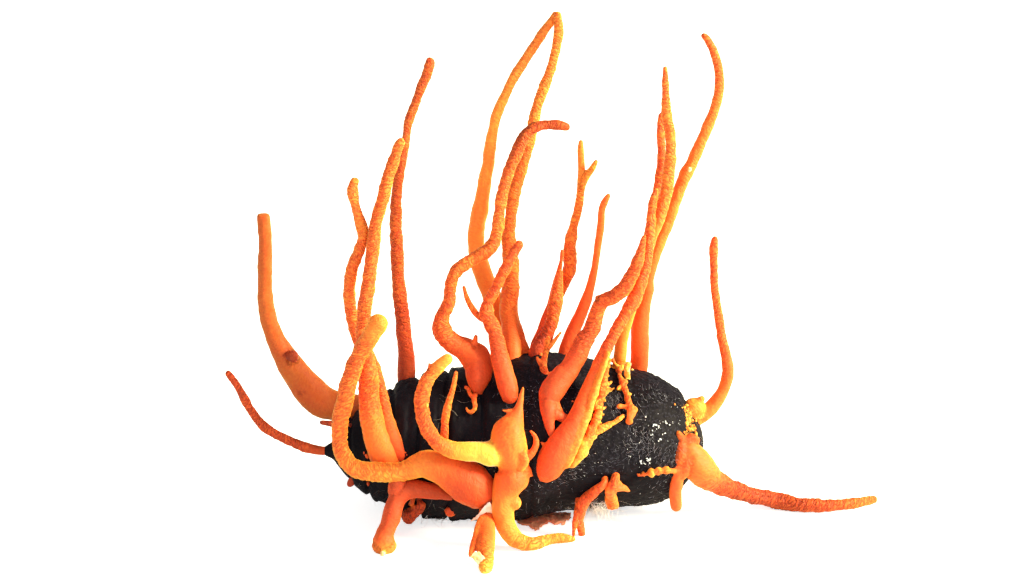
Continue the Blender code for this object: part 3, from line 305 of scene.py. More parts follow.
# %% Routes
FLOOR, SKIN = "floor", "skin"
STALKS = {
    "loop_left": [
        [(-2.3, -3.9, -5, 1.15), (-2.9, -4.1, -6, 1.6), (-3.6, -3.75, -6.5, 1.75),
         (-4.6, -3.1, -6.6, 1.62), (-5.6, -2.6, -6.55, 1.42), (-6.6, -2.3, -6.5, 1.22),
         (-7.5, -2.2, -6.4, 1.06), (-8.5, -2.55, -6.4, 0.86), (-9.6, -2.78, -6.4, 0.79),
         (-11.2, -2.77, -6.2, 0.78), (-12.5, -2.62, -6, 0.73), (-13.4, -2.05, -5.8, 0.7),
         (-13.95, -1, -5.6, 0.67), (-14.1, 0, -5.5, 0.64), (-14.05, 1, -5.5, 0.65),
         (-13.75, 2.6, -5.5, 0.69), (-13.4, 4.2, -5.6, 0.69), (-12.95, 5.6, -5.7, 0.67),
         (-12.5, 6.7, -5.8, 0.65), (-11.95, 7.55, -6, 0.69), (-11.4, 8.4, -6.1, 0.74),
         (-10.95, 9.15, -6.2, 0.76), (-10.7, 9.75, -6.3, 0.66)],
    ],
    "hub_front": [
        [(-0.3, -2.9, -6.1, 0.8), (-0.35, -2, -6.8, 1.15), (-0.5, -1, -7, 1.38),
         (-0.58, -0.1, -6.9, 1.45), (-0.45, 0.7, -6.7, 1.25), (-0.15, 1.4, -6.4, 0.8),
         (0.12, 2, -6.2, 0.48), (0.3, 2.6, -6, 0.28), (0.44, 3.3, -5.8, 0.2), (0.6, 4.1, -5.6, 0.11)],
        [(0, -2, -7, 0.7), (0.6, -2.6, -6.9, 0.6), (1.1, -3.1, -6.6, 0.38)],
        [(0.4, -1.9, -7.2, 0.36), (0.95, -1.6, -7.2, 0.32), (1.4, -1.1, -7.1, 0.28),
         (1.62, -0.5, -7, 0.24), (1.5, 0.1, -6.9, 0.18), (1.05, 0.62, -6.8, 0.1)],
        [(0.1, 2.1, -6.1, 0.16), (-0.45, 2.15, -6.2, 0.14), (-0.9, 2.1, -6.3, 0.12),
         (-1.16, 2.22, -6.3, 0.1)],
    ],
    "stalk_diagonal": [
        [(2.3, -2.9, -5.6, 0.85), (2.6, -2.45, -6.2, 1.12), (3, -1.7, -6.6, 1.22),
         (3.55, -0.8, -6.7, 1.15), (4.2, 0.2, -6.4, 1.03), (4.85, 1.3, -6, 0.85),
         (5.3, 2.4, -5.5, 0.74), (5.8, 3.6, -4.9, 0.67), (6.3, 4.85, -4.35, 0.59), (6.8, 6.1, -4, 0.56),
         (7.35, 7.3, -3.7, 0.5), (8, 8.55, -3.45, 0.46), (8.5, 9.44, -3.3, 0.5),
         (9.05, 10.3, -3.2, 0.54), (9.42, 11, -3.1, 0.58), (9.9, 12.2, -3.1, 0.55),
         (10.3, 13.5, -3, 0.5), (10.6, 15.2, -2.9, 0.45), (10.78, 17, -2.7, 0.43),
         (10.86, 18.2, -2.6, 0.38), (11.05, 19.2, -2.5, 0.3), (11.3, 20, -2.4, 0.16)],
    ],
    "stalk_long_right": [
        [(13, -0.2, -2.3, 0.7), (13.6, -0.9, -3, 0.95), (14.2, -1.75, -3.1, 1.18),
         (14.9, -2.7, -2.8, 1.22), (15.75, -3.4, -2.2, 0.98), (17, -4.08, -1.3, 0.76),
         (18.5, -4.56, -0.4, 0.69), (20, -4.9, 0.2, 0.63), (21.2, -5.13, FLOOR, 0.62),
         (22.6, -5.36, FLOOR, 0.58), (24, -5.47, FLOOR, 0.53), (25.4, -5.43, FLOOR, 0.47),
         (26.8, -5.3, FLOOR, 0.42), (28, -5.1, FLOOR, 0.38), (28.9, -4.97, FLOOR, 0.32)],
        [(13.5, -0.5, -3.2, 0.4), (13.1, 0.1, -3.6, 0.26), (12.9, 0.55, -3.7, 0.12)],
    ],
    "hook_front": [
        [(-0.9, -1.25, -6.7, 0.8), (-1.4, -1.3, -7.1, 1.0), (-2.1, -1.3, -7.4, 1.06),
         (-3, -1.2, -7.5, 0.86), (-4.6, -1.1, -7.5, 0.7), (-5.8, -0.75, -7.5, 0.65),
         (-6.6, -0.1, -7.5, 0.62), (-7.2, 0.95, -7.5, 0.6), (-7.5, 2.1, -7.5, 0.6),
         (-7.52, 3.2, -7.5, 0.6), (-7.2, 4.3, -7.4, 0.57), (-6.65, 5.1, -7.2, 0.55),
         (-6, 5.8, -7.1, 0.5), (-5.5, 6.2, -7, 0.46), (-5.15, 6.55, -7, 0.36)],
        [(-6.9, 5.2, -7.2, 0.2), (-6.95, 6, -7.2, 0.08)],
    ],
    "curl_front": [
        [(-0.35, -2.5, -6.7, 0.95), (-0.3, -3.1, -7, 1.38), (-0.62, -3.8, -7.1, 1.22),
         (-0.95, -4.5, -7.2, 0.95), (-1.05, -5.4, -7.4, 0.86), (-0.98, -6.4, -7.55, 0.84),
         (-0.75, -7.25, -7.75, 0.79), (-0.25, -7.95, -7.9, 0.73), (0.6, -8.42, FLOOR, 0.64),
         (1.5, -8.48, FLOOR, 0.55), (2.4, -8.25, FLOOR, 0.48), (3.3, -8.07, FLOOR, 0.44),
         (4.1, -8.1, FLOOR, 0.36), (4.85, -8.17, FLOOR, 0.16)],
        [(-0.9, -5, -7.3, 0.55), (-0.3, -5.2, -7.3, 0.6), (0.45, -5.35, -7.2, 0.46)],
    ],
    "foot_left": [
        [(-5, -4.7, -5.2, 0.35), (-6.5, -4.35, -5.9, 0.63), (-8, -4.15, -6.2, 0.7),
         (-8.85, -4.35, -6.45, 0.7), (-9.4, -4.85, -6.7, 0.7), (-9.7, -5.5, -6.95, 0.71),
         (-9.9, -6.2, -7.2, 0.71), (-10.2, -7.1, -7.6, 0.66), (-10.5, -7.8, -7.85, 0.72),
         (-10.55, -8.3, -8.05, 0.86), (-10.58, -8.9, -8.25, 0.76), (-10.6, -9.6, -8.5, 0.6)],
        [(-9.4, -3.25, -6.3, 0.6), (-9.5, -4.05, -6.45, 0.68), (-9.72, -4.95, -6.75, 0.69)],
    ],
    "foot_centre": [
        [(-2.3, -5.2, -5.4, 0.5), (-2.3, -6, -6.6, 0.6), (-2.35, -7, -8.1, 0.68),
         (-2.35, -8, -9.5, 0.7), (-2.35, -9, -10.8, 0.66), (-2.4, -10, -11.9, 0.58),
         (-2.4, -11, -12.8, 0.46)],
        [(-2.6, -6.8, -8, 0.35), (-3.05, -7.5, -9, 0.28), (-3.35, -8.5, -10.2, 0.26),
         (-3.7, -9.6, -11.5, 0.18)],
    ],
    "stalk_left_front": [
        [(-10, -2.3, -4.1, 1.05), (-10.4, -1.7, -4.6, 1.15), (-10.9, -0.5, -4.7, 1.08),
         (-11.4, 1, -4.5, 0.95), (-11.75, 3, -4.3, 0.8), (-11.8, 5, -4.2, 0.73), (-12.1, 7, -4.2, 0.6),
         (-12.18, 9, -4.2, 0.54), (-12, 11, -4.1, 0.53), (-11.65, 13, -3.9, 0.52),
         (-11.42, 15, -3.7, 0.5), (-11.2, 17, -3.6, 0.47), (-10.65, 19, -3.4, 0.46),
         (-10.15, 21, -3.2, 0.43), (-9.75, 22.2, -3.1, 0.41), (-9.4, 23.2, -3, 0.35),
         (-9, 23.9, -3, 0.24)],
    ],
    "stalk_left_back": [
        [(-9, -2, -4.2, 0.45), (-9.3, -1.3, -4.8, 0.5), (-10.1, 0.6, -4.4, 0.55),
         (-10.6, 2.5, -3.4, 0.5), (-11, 4.5, -2.7, 0.45), (-11.6, 6.4, -2.5, 0.36),
         (-12.3, 7.3, -2.5, 0.35), (-12.85, 8.2, -2.6, 0.36), (-13.1, 9.5, -2.7, 0.4),
         (-13.3, 11.5, -2.8, 0.43), (-13.1, 13.4, -2.9, 0.42), (-12.5, 15, -3, 0.39),
         (-12.2, 16.1, -3.1, 0.36), (-12.4, 17.1, -3.1, 0.37), (-12.8, 18.4, -3.1, 0.33),
         (-13.05, 19.9, -3.1, 0.36), (-12.7, 20.75, -3.1, 0.24)],
    ],
    "stalk_elbow": [
        [(2.95, -0.1, SKIN, 0.18), (2.8, 0.6, SKIN, 0.34), (2.65, 1.3, SKIN, 0.44),
         (2.6, 2.1, SKIN, 0.62), (2.62, 2.8, -4.95, 0.78), (2.8, 3.5, -4.7, 0.96),
         (3.3, 4.3, -4.35, 0.98), (3.85, 4.95, -4.1, 0.88), (4.25, 5.4, -3.95, 0.8),
         (4.85, 6.4, -3.6, 0.79), (5.3, 7.4, -3.4, 0.76), (5.98, 8.5, -3.25, 0.71),
         (6.35, 9.44, -3.2, 0.6), (6.6, 10.2, -3.25, 0.53), (7, 10.9, -3.4, 0.56),
         (7.75, 11.2, -3.55, 0.6), (8.4, 11.65, -3.7, 0.6), (8.85, 12.2, -3.75, 0.57),
         (9.25, 12.95, -3.8, 0.53), (9.7, 13.9, -3.7, 0.49), (10, 14.9, -3.5, 0.38),
         (10.3, 16.2, -3.3, 0.16)],
        [(7, 10.9, -3.4, 0.4), (6.6, 11.1, -3.35, 0.28), (6.28, 11.24, -3.3, 0.11)],
        [(2.7, 1.95, SKIN, 0.42), (3.3, 1.78, SKIN, 0.42), (3.85, 1.5, -5.7, 0.38),
         (4.5, 1.4, -5.8, 0.38)],
    ],
    "stalk_swan_neck": [
        [(-3.05, 3.65, -2.9, 0.42), (-3.03, 4.1, -2.8, 0.72), (-3.03, 4.7, -2.6, 0.96),
         (-2.95, 5.3, -2.3, 1.03), (-3, 5.9, -2, 1.08), (-3.3, 6.45, -1.8, 1.14), (-4, 7, -1.8, 0.97),
         (-4.83, 7.38, -1.9, 0.82), (-5.4, 7.85, -2.05, 0.79), (-5.85, 8.45, -2.2, 0.75),
         (-6, 9.1, -2.2, 0.65), (-5.8, 9.84, -2.2, 0.53), (-5.35, 10.8, -2.1, 0.49),
         (-5.2, 12.2, -1.9, 0.47), (-4.85, 13.15, -1.8, 0.5), (-4.1, 13.8, -1.7, 0.5),
         (-3.2, 14.35, -1.5, 0.5), (-2.4, 14.85, -1.4, 0.54), (-1.8, 15.5, -1.3, 0.5),
         (-1.45, 16.7, -1.1, 0.47), (-1.25, 18.5, -0.9, 0.47), (-0.95, 20, -0.8, 0.43),
         (-0.5, 21.4, -0.7, 0.45), (0, 22.6, -0.6, 0.45), (0.4, 23.6, -0.5, 0.45),
         (0.95, 24.35, -0.4, 0.43), (1.7, 24.8, -0.2, 0.4), (2.6, 24.96, 0, 0.35),
         (3.5, 24.93, 0.1, 0.36), (4.4, 24.68, 0.2, 0.26)],
        [(-3.3, 7.3, -2.2, 0.24), (-3.18, 8.24, -2.4, 0.16)],
    ],
    "stalk_centre_front": [
        [(-0.38, 2.8, -3.7, 0.4), (-0.48, 3.25, -4.1, 0.62), (-0.68, 4.1, -3.9, 0.76),
         (-1.02, 5.4, -3.3, 0.78), (-1.23, 6.3, -3, 0.71), (-1.47, 7.5, -2.65, 0.65),
         (-1.75, 8.5, -2.4, 0.58), (-2.1, 9.2, -2.3, 0.56), (-2.35, 9.95, -2.3, 0.57),
         (-2.2, 10.8, -2.3, 0.46), (-1.65, 11.8, -2.3, 0.4), (-1.1, 13, -2.4, 0.42),
         (-0.6, 13.95, -2.5, 0.43), (-0.15, 14.8, -2.5, 0.41), (0.5, 15.7, -2.6, 0.28)],
    ],
    "stalk_centre_right": [
        [(-0.35, 5.7, 0.7, 0.72), (-0.35, 6.6, 1.1, 0.76), (-0.38, 7.6, 1.7, 0.74),
         (-0.45, 9, 2.3, 0.7), (-0.58, 10.3, 2.6, 0.67), (-0.45, 12, 2.6, 0.65), (-0.4, 14, 2.6, 0.6),
         (-0.6, 16, 2.6, 0.5), (-0.4, 17.8, 2.6, 0.44), (-0.05, 19.8, 2.6, 0.49),
         (0.4, 21.4, 2.6, 0.45), (0.9, 23.1, 2.6, 0.43), (1.35, 24.8, 2.6, 0.4),
         (1.65, 26.2, 2.7, 0.37), (2.15, 27.7, 2.8, 0.38), (2.75, 29.3, 2.8, 0.33),
         (3.15, 30.8, 2.9, 0.3), (3.42, 32.2, 3, 0.35), (3.38, 33.3, 3.1, 0.3), (3.3, 34.1, 3.2, 0.22)],
        [(0.55, 5.9, 1.5, 0.55), (0.45, 6.9, 1.8, 0.59), (0.2, 8, 2.1, 0.53), (-0.05, 9.1, 2.4, 0.38),
         (-0.25, 10, 2.6, 0.2)],
    ],
    "stalk_centre_left": [
        [(-0.5, 5.4, 3.6, 0.7), (-0.45, 6.8, 4.1, 0.75), (-0.75, 8.2, 4.3, 0.75),
         (-1.25, 9.6, 4.4, 0.75), (-1.75, 10.9, 4.4, 0.75), (-2.3, 12.2, 4.4, 0.75),
         (-2.8, 13.6, 4.3, 0.72), (-3.15, 15, 4.2, 0.66), (-3.15, 16.6, 4.1, 0.65),
         (-2.8, 18.4, 4, 0.61), (-2.55, 20, 3.9, 0.55), (-2.25, 21.6, 3.8, 0.49), (-2, 23.6, 3.7, 0.46),
         (-1.75, 24.9, 3.6, 0.39), (-1.4, 26.1, 3.6, 0.42), (-0.85, 27.3, 3.6, 0.39),
         (-0.25, 28.6, 3.6, 0.38), (0.7, 30.1, 3.6, 0.38), (1.5, 31.3, 3.6, 0.36),
         (2.3, 32.5, 3.6, 0.33), (2.9, 33.3, 3.6, 0.3), (3.25, 34.05, 3.6, 0.2)],
    ],
    "stalk_left_tall": [
        [(-8.7, 3.3, 2.6, 0.62), (-8.75, 5.2, 2.9, 0.67), (-8.85, 7.2, 3, 0.6), (-9.1, 9.8, 3.1, 0.55),
         (-9.35, 12.2, 3.1, 0.5), (-9.5, 14.8, 3.1, 0.47), (-9.6, 17.4, 3, 0.44),
         (-9.5, 19.6, 2.9, 0.42), (-9.2, 21.6, 2.8, 0.37), (-8.95, 22.9, 2.8, 0.35),
         (-8.75, 24, 2.7, 0.31), (-8.6, 25.1, 2.7, 0.35), (-8.2, 26.2, 2.7, 0.31),
         (-7.9, 27, 2.7, 0.29), (-7.5, 28.1, 2.6, 0.35), (-7, 29.3, 2.6, 0.37), (-6.8, 30.4, 2.6, 0.3)],
    ],
    "stalk_far_left": [
        [(-11, 1.4, 2, 0.85), (-12.4, 2.3, 2.4, 1), (-13.9, 2.45, 2.6, 1.15), (-15.3, 2.75, 2.7, 1.27),
         (-16.4, 3.65, 2.8, 1.26), (-17.5, 5, 2.9, 1.1), (-18.5, 6.5, 3, 0.87), (-19.3, 8.1, 3, 0.71),
         (-19.8, 9.6, 3, 0.64), (-20.05, 11.4, 3, 0.57), (-20.05, 13.6, 3, 0.54),
         (-20.05, 15.8, 3, 0.52), (-20.2, 17.8, 3, 0.44)],
        [(-18.1, 6.1, 2.6, 0.5), (-17.55, 6.75, 2.4, 0.36)],
    ],
    "stalk_left_thin": [
        [(-14.8, -1.05, 0, 0.28), (-15.6, -1.08, 0, 0.34), (-16.8, -0.82, -0.1, 0.38),
         (-18, -0.35, -0.2, 0.36), (-19, 0.15, -0.3, 0.34), (-19.8, 0.6, -0.4, 0.38),
         (-20.6, 1.35, -0.5, 0.37), (-21.2, 2.2, -0.5, 0.34), (-21.75, 3.15, -0.6, 0.31),
         (-22.3, 4.15, -0.6, 0.3), (-23.15, 5.3, -0.6, 0.2)],
    ],
    "stub_left": [
        [(-12.6, 0.7, -0.6, 0.26), (-13.6, 0.9, -0.9, 0.24), (-14.6, 1.05, -1, 0.22),
         (-15.75, 1.2, -1, 0.16)],
    ],
    "twig_centre": [
        [(-2.2, 9.3, -1.9, 0.26), (-2.9, 9.6, -1.6, 0.25), (-3.45, 10.25, -1.4, 0.22),
         (-3.9, 11.1, -1.3, 0.18), (-4.2, 12.15, -1.2, 0.11)],
    ],
    "stub_top": [
        [(1.5, 6.1, 0.9, 0.5), (1.7, 7, 1, 0.58), (2.3, 8, 1.1, 0.54), (2.8, 8.9, 1.1, 0.51),
         (3.03, 9.94, 1.1, 0.56), (3.2, 10.96, 1.1, 0.59), (3.33, 12, 1.2, 0.45), (3.47, 13, 1.2, 0.28),
         (3.57, 13.5, 1.3, 0.15)],
    ],
    "stalk_slender": [
        [(1.4, 6.2, 1.8, 0.4), (1.6, 7.4, 2.1, 0.4), (1.98, 8.3, 2.2, 0.35), (2.3, 9.3, 2.2, 0.29),
         (2.75, 10.5, 2.2, 0.27), (3.07, 11.8, 2.2, 0.25), (3.35, 12.8, 2.2, 0.22),
         (3.53, 13.6, 2.2, 0.17), (3.62, 14.1, 2.1, 0.13), (3.68, 14.6, 2.1, 0.15),
         (3.71, 15.05, 2.1, 0.1)],
    ],
    "stalk_forked": [
        [(2, 5.8, 2.6, 0.36), (2.4, 7.1, 2.8, 0.36), (2.8, 8.7, 3, 0.35), (3.25, 10.6, 3.1, 0.36),
         (3.6, 11.6, 3.1, 0.38), (3.95, 12.4, 3.1, 0.42), (4.25, 13.3, 3.1, 0.51),
         (4.35, 14.4, 3.1, 0.54), (4.36, 15.6, 3.1, 0.46), (4.6, 16.8, 3.1, 0.38), (5, 18.4, 3.1, 0.31),
         (5.2, 20.1, 3.1, 0.29), (5.24, 21.5, 3.1, 0.25), (5.18, 22.8, 3.1, 0.25),
         (5.2, 23.8, 3.1, 0.16)],
        [(5.18, 19.5, 3.1, 0.24), (5.35, 20.3, 3, 0.27), (5.75, 21, 2.8, 0.25),
         (6.15, 21.55, 2.6, 0.21), (6.5, 22.2, 2.5, 0.12)],
    ],
    "stalk_curved": [
        [(3.8, 5.6, 1.8, 0.5), (3.95, 6.7, 2, 0.56), (4.25, 7.7, 2.1, 0.55), (4.6, 8.5, 2.2, 0.53),
         (5.03, 9.5, 2.2, 0.49), (5.45, 10.45, 2.2, 0.42), (5.8, 11.5, 2.2, 0.36),
         (6.07, 12.5, 2.2, 0.3), (6.32, 13.7, 2.2, 0.27), (6.55, 15.3, 2.2, 0.27),
         (6.76, 16.8, 2.2, 0.26), (6.87, 18.1, 2.2, 0.26), (7.1, 18.8, 2.2, 0.27),
         (7.52, 19.5, 2.2, 0.15)],
    ],
    "stalk_dagger": [
        [(10.7, 15, -2.5, 0.24), (11, 16.2, -2.3, 0.3), (11.45, 17.3, -2.1, 0.36),
         (11.75, 18.5, -1.9, 0.43), (12.1, 20, -1.7, 0.45), (12.28, 21.5, -1.7, 0.4),
         (12.4, 23, -1.6, 0.38), (12.3, 24.4, -1.5, 0.37), (12.05, 25.8, -1.4, 0.35),
         (12, 27.2, -1.4, 0.27), (11.97, 28.4, -1.3, 0.22), (11.95, 29.7, -1.3, 0.14)],
    ],
    "stalk_sickle": [
        [(9.4, 3.8, 2.5, 0.7), (9.78, 5.6, 2.7, 0.72), (9.9, 7.2, 2.6, 0.69), (9.95, 8.9, 2.5, 0.67),
         (10.1, 10.1, 2.4, 0.6), (10.38, 11.2, 2.3, 0.51), (10.6, 12.8, 2.1, 0.5),
         (10.95, 14.2, 2, 0.5), (11.5, 15.8, 1.9, 0.49), (12.15, 17.2, 1.8, 0.48),
         (12.75, 19, 1.7, 0.48), (13.5, 20.8, 1.7, 0.48), (14.15, 22.1, 1.7, 0.47),
         (14.8, 23.6, 1.7, 0.43), (15.45, 25.1, 1.7, 0.4), (16, 26.5, 1.7, 0.37),
         (16.27, 28, 1.7, 0.35), (16.2, 29.4, 1.8, 0.32), (15.85, 30.7, 1.9, 0.3),
         (15.3, 31.8, 2, 0.27), (14.8, 32.25, 2, 0.18)],
    ],
    "stalk_behind": [
        [(8.2, 4.2, 1.8, 0.5), (8.25, 6, 1.7, 0.5), (8.5, 8, 1.4, 0.45), (9, 9.7, 1.2, 0.42),
         (9.6, 11.6, 0.9, 0.42), (10.15, 13.7, 0.6, 0.42), (10.6, 16, 0.3, 0.41),
         (11.05, 18.2, 0.2, 0.38), (11.4, 20.2, 0.2, 0.34), (11.63, 21.8, 0.2, 0.35),
         (11.62, 23.4, 0.2, 0.32), (11.56, 24.8, 0.2, 0.27), (11.62, 26, 0.2, 0.17)],
    ],
    "stalk_whip": [
        [(13.2, 0.6, 0.6, 0.55), (14.6, 1.7, 0.6, 0.66), (15.4, 2.2, 0.6, 0.59), (16, 2.85, 0.6, 0.5),
         (16.6, 3.8, 0.6, 0.43), (16.93, 5, 0.6, 0.42), (16.85, 6.3, 0.6, 0.38), (16.5, 7.7, 0.6, 0.36),
         (16.28, 9.2, 0.6, 0.32), (16.05, 10.7, 0.6, 0.29), (15.87, 12.2, 0.6, 0.28),
         (15.82, 13.7, 0.6, 0.27), (15.82, 15.1, 0.6, 0.3), (15.95, 16.1, 0.6, 0.2)],
        [(13.2, 1.1, 0.1, 0.6), (13.9, 1.9, 0.1, 0.8), (14.4, 2.6, 0.1, 0.78), (14.6, 3.1, 0.1, 0.6)],
        [(14.5, 2.6, 0.1, 0.35), (15.1, 3.25, 0, 0.14)],
    ],
    "finger_right": [
        [(13.3, -1.5, -3, 0.6), (13.05, -2.4, -3.9, 0.52), (12.85, -3.3, -4, 0.47),
         (12.75, -4.4, -3.8, 0.48), (12.8, -5.3, -3.7, 0.45), (12.9, -5.95, -3.7, 0.34)],
        [(9.8, -3.1, SKIN, 0.08), (11, -2.8, SKIN, 0.13), (12.2, -2.72, SKIN, 0.18),
         (13, -2.7, -3.9, 0.2)],
    ],
    "toe_right": [
        [(7.1, -3.65, SKIN, 0.26), (6.55, -4.15, SKIN, 0.34), (6, -4.6, -5.5, 0.41),
         (5.5, -5.05, -5.6, 0.45), (5.15, -5.8, -5.5, 0.44), (5.05, -6.6, -5.3, 0.36),
         (5.2, -7.3, -5.2, 0.3), (5.3, -8, -5.1, 0.24)],
        [(5, -5.8, -5.6, 0.28), (4.75, -6.5, -5.7, 0.2), (4.65, -7.2, -5.7, 0.16),
         (4.6, -8.1, -5.6, 0.1)],
    ],
    "toe_stub": [
        [(7.95, -3.4, SKIN, 0.32), (7.65, -4, SKIN, 0.44), (7.6, -4.8, -5.2, 0.43),
         (7.75, -5.65, -5.1, 0.5)],
        [(8.05, -3.75, SKIN, 0.23), (8.6, -4.05, SKIN, 0.17), (9.15, -4.35, SKIN, 0.09)],
    ],
    "twig_front": [
        [(-5.7, -1, -5.2, 0.27), (-5.7, 0.2, -5.9, 0.28), (-5.65, 1.5, -5.9, 0.28),
         (-5.4, 2.7, -5.8, 0.25), (-5, 4, -5.6, 0.2), (-4.75, 5.35, -5.4, 0.12)],
    ],
    "twig_hooked": [
        [(-3.18, 3.4, SKIN, 0.16), (-3.33, 2.95, SKIN, 0.18), (-3.26, 2.55, SKIN, 0.17),
         (-3.33, 2.2, SKIN, 0.15), (-3.6, 2, SKIN, 0.14), (-3.88, 2.14, SKIN, 0.12),
         (-3.97, 2.45, SKIN, 0.1)],
        [(-3.35, 3, SKIN, 0.15), (-3.65, 3.45, SKIN, 0.15), (-3.8, 3.85, SKIN, 0.15),
         (-4.12, 4.05, SKIN, 0.13)],
    ],
    "twig_top": [
        [(2.55, 4.4, -2.2, 0.22), (2.42, 4.95, -2.3, 0.25), (2.2, 5.6, -1.9, 0.27),
         (2.25, 6.15, -1.7, 0.23), (2.36, 6.7, -1.5, 0.2), (2.5, 7.3, -1.3, 0.2),
         (2.56, 8.15, -1.1, 0.14)],
        [(2.45, 6.95, -1.4, 0.17), (2.9, 7.45, -1.3, 0.15), (3.3, 8, -1.2, 0.12),
         (3.7, 8.5, -1.1, 0.08)],
        [(2.2, 5.6, -1.9, 0.16), (1.92, 5.9, -1.85, 0.14), (1.63, 6.5, -1.75, 0.1)],
        [(2.35, 4.75, -2.3, 0.16), (2.7, 4.95, -2.3, 0.15), (2.92, 5.3, -2.3, 0.1)],
    ],
    "fringe_diagonal": [
        [(4.5, -2.2, SKIN, 0.34), (5.1, -1.3, SKIN, 0.44), (5.7, -0.35, SKIN, 0.48),
         (6.1, 0.6, SKIN, 0.42), (6.45, 1.5, SKIN, 0.35), (6.65, 2.4, SKIN, 0.32),
         (6.8, 3.3, -4.4, 0.3), (6.95, 4.3, -4, 0.28), (7.2, 5.3, -3.7, 0.25), (7.55, 6.4, -3.5, 0.17)],
    ],
    "strand_low": [
        [(6, -0.2, SKIN, 0.18), (6.5, 0.5, SKIN, 0.26), (7.1, 0.82, SKIN, 0.24), (7.9, 1.2, SKIN, 0.19),
         (8.7, 1.8, SKIN, 0.14)],
    ],
    "strand_nubby": [
        [(9.05, 1.4, SKIN, 0.24), (9.2, 2, SKIN, 0.3), (9, 2.9, SKIN, 0.21), (8.75, 3.7, SKIN, 0.19),
         (8.5, 4.4, SKIN, 0.18), (8.25, 5.05, SKIN, 0.12), (7.95, 5.7, SKIN, 0.11),
         (7.7, 6.2, -1.9, 0.11)],
        [(9.1, 2.3, SKIN, 0.2), (8.6, 2.45, SKIN, 0.16), (8.05, 2.45, SKIN, 0.12)],
        [(9.2, 2, SKIN, 0.22), (9.65, 2.3, SKIN, 0.15)],
        [(8.6, 4.2, SKIN, 0.16), (8.85, 4.55, SKIN, 0.2)],
    ],
    "nub_left": [
        [(-12.9, -3.2, -1, 0.3), (-13.15, -3.6, -1.05, 0.28), (-13.45, -3.98, -1.1, 0.17)],
    ],
    "lump_left": [
        [(-7.6, -5.6, SKIN, 0.35), (-8.1, -5.95, -4.6, 0.54), (-8.6, -6.3, -4.4, 0.58),
         (-9, -6.7, -4.2, 0.45)],
        [(-8.3, -4.9, SKIN, 0.22), (-8.4, -5.6, -4.7, 0.24)],
    ],
}
print("stalks:", len(STALKS), "routes:", sum(len(routes) for routes in STALKS.values()))

# %% [markdown]
# ## Small outgrowths
# Teeth, crusts, knobs and webs grow on many stalks. They are too small for the solids, so they are
# drawn here. Each has its own tone, from 0, deep red brown, to 1, nearly white, and then its route.

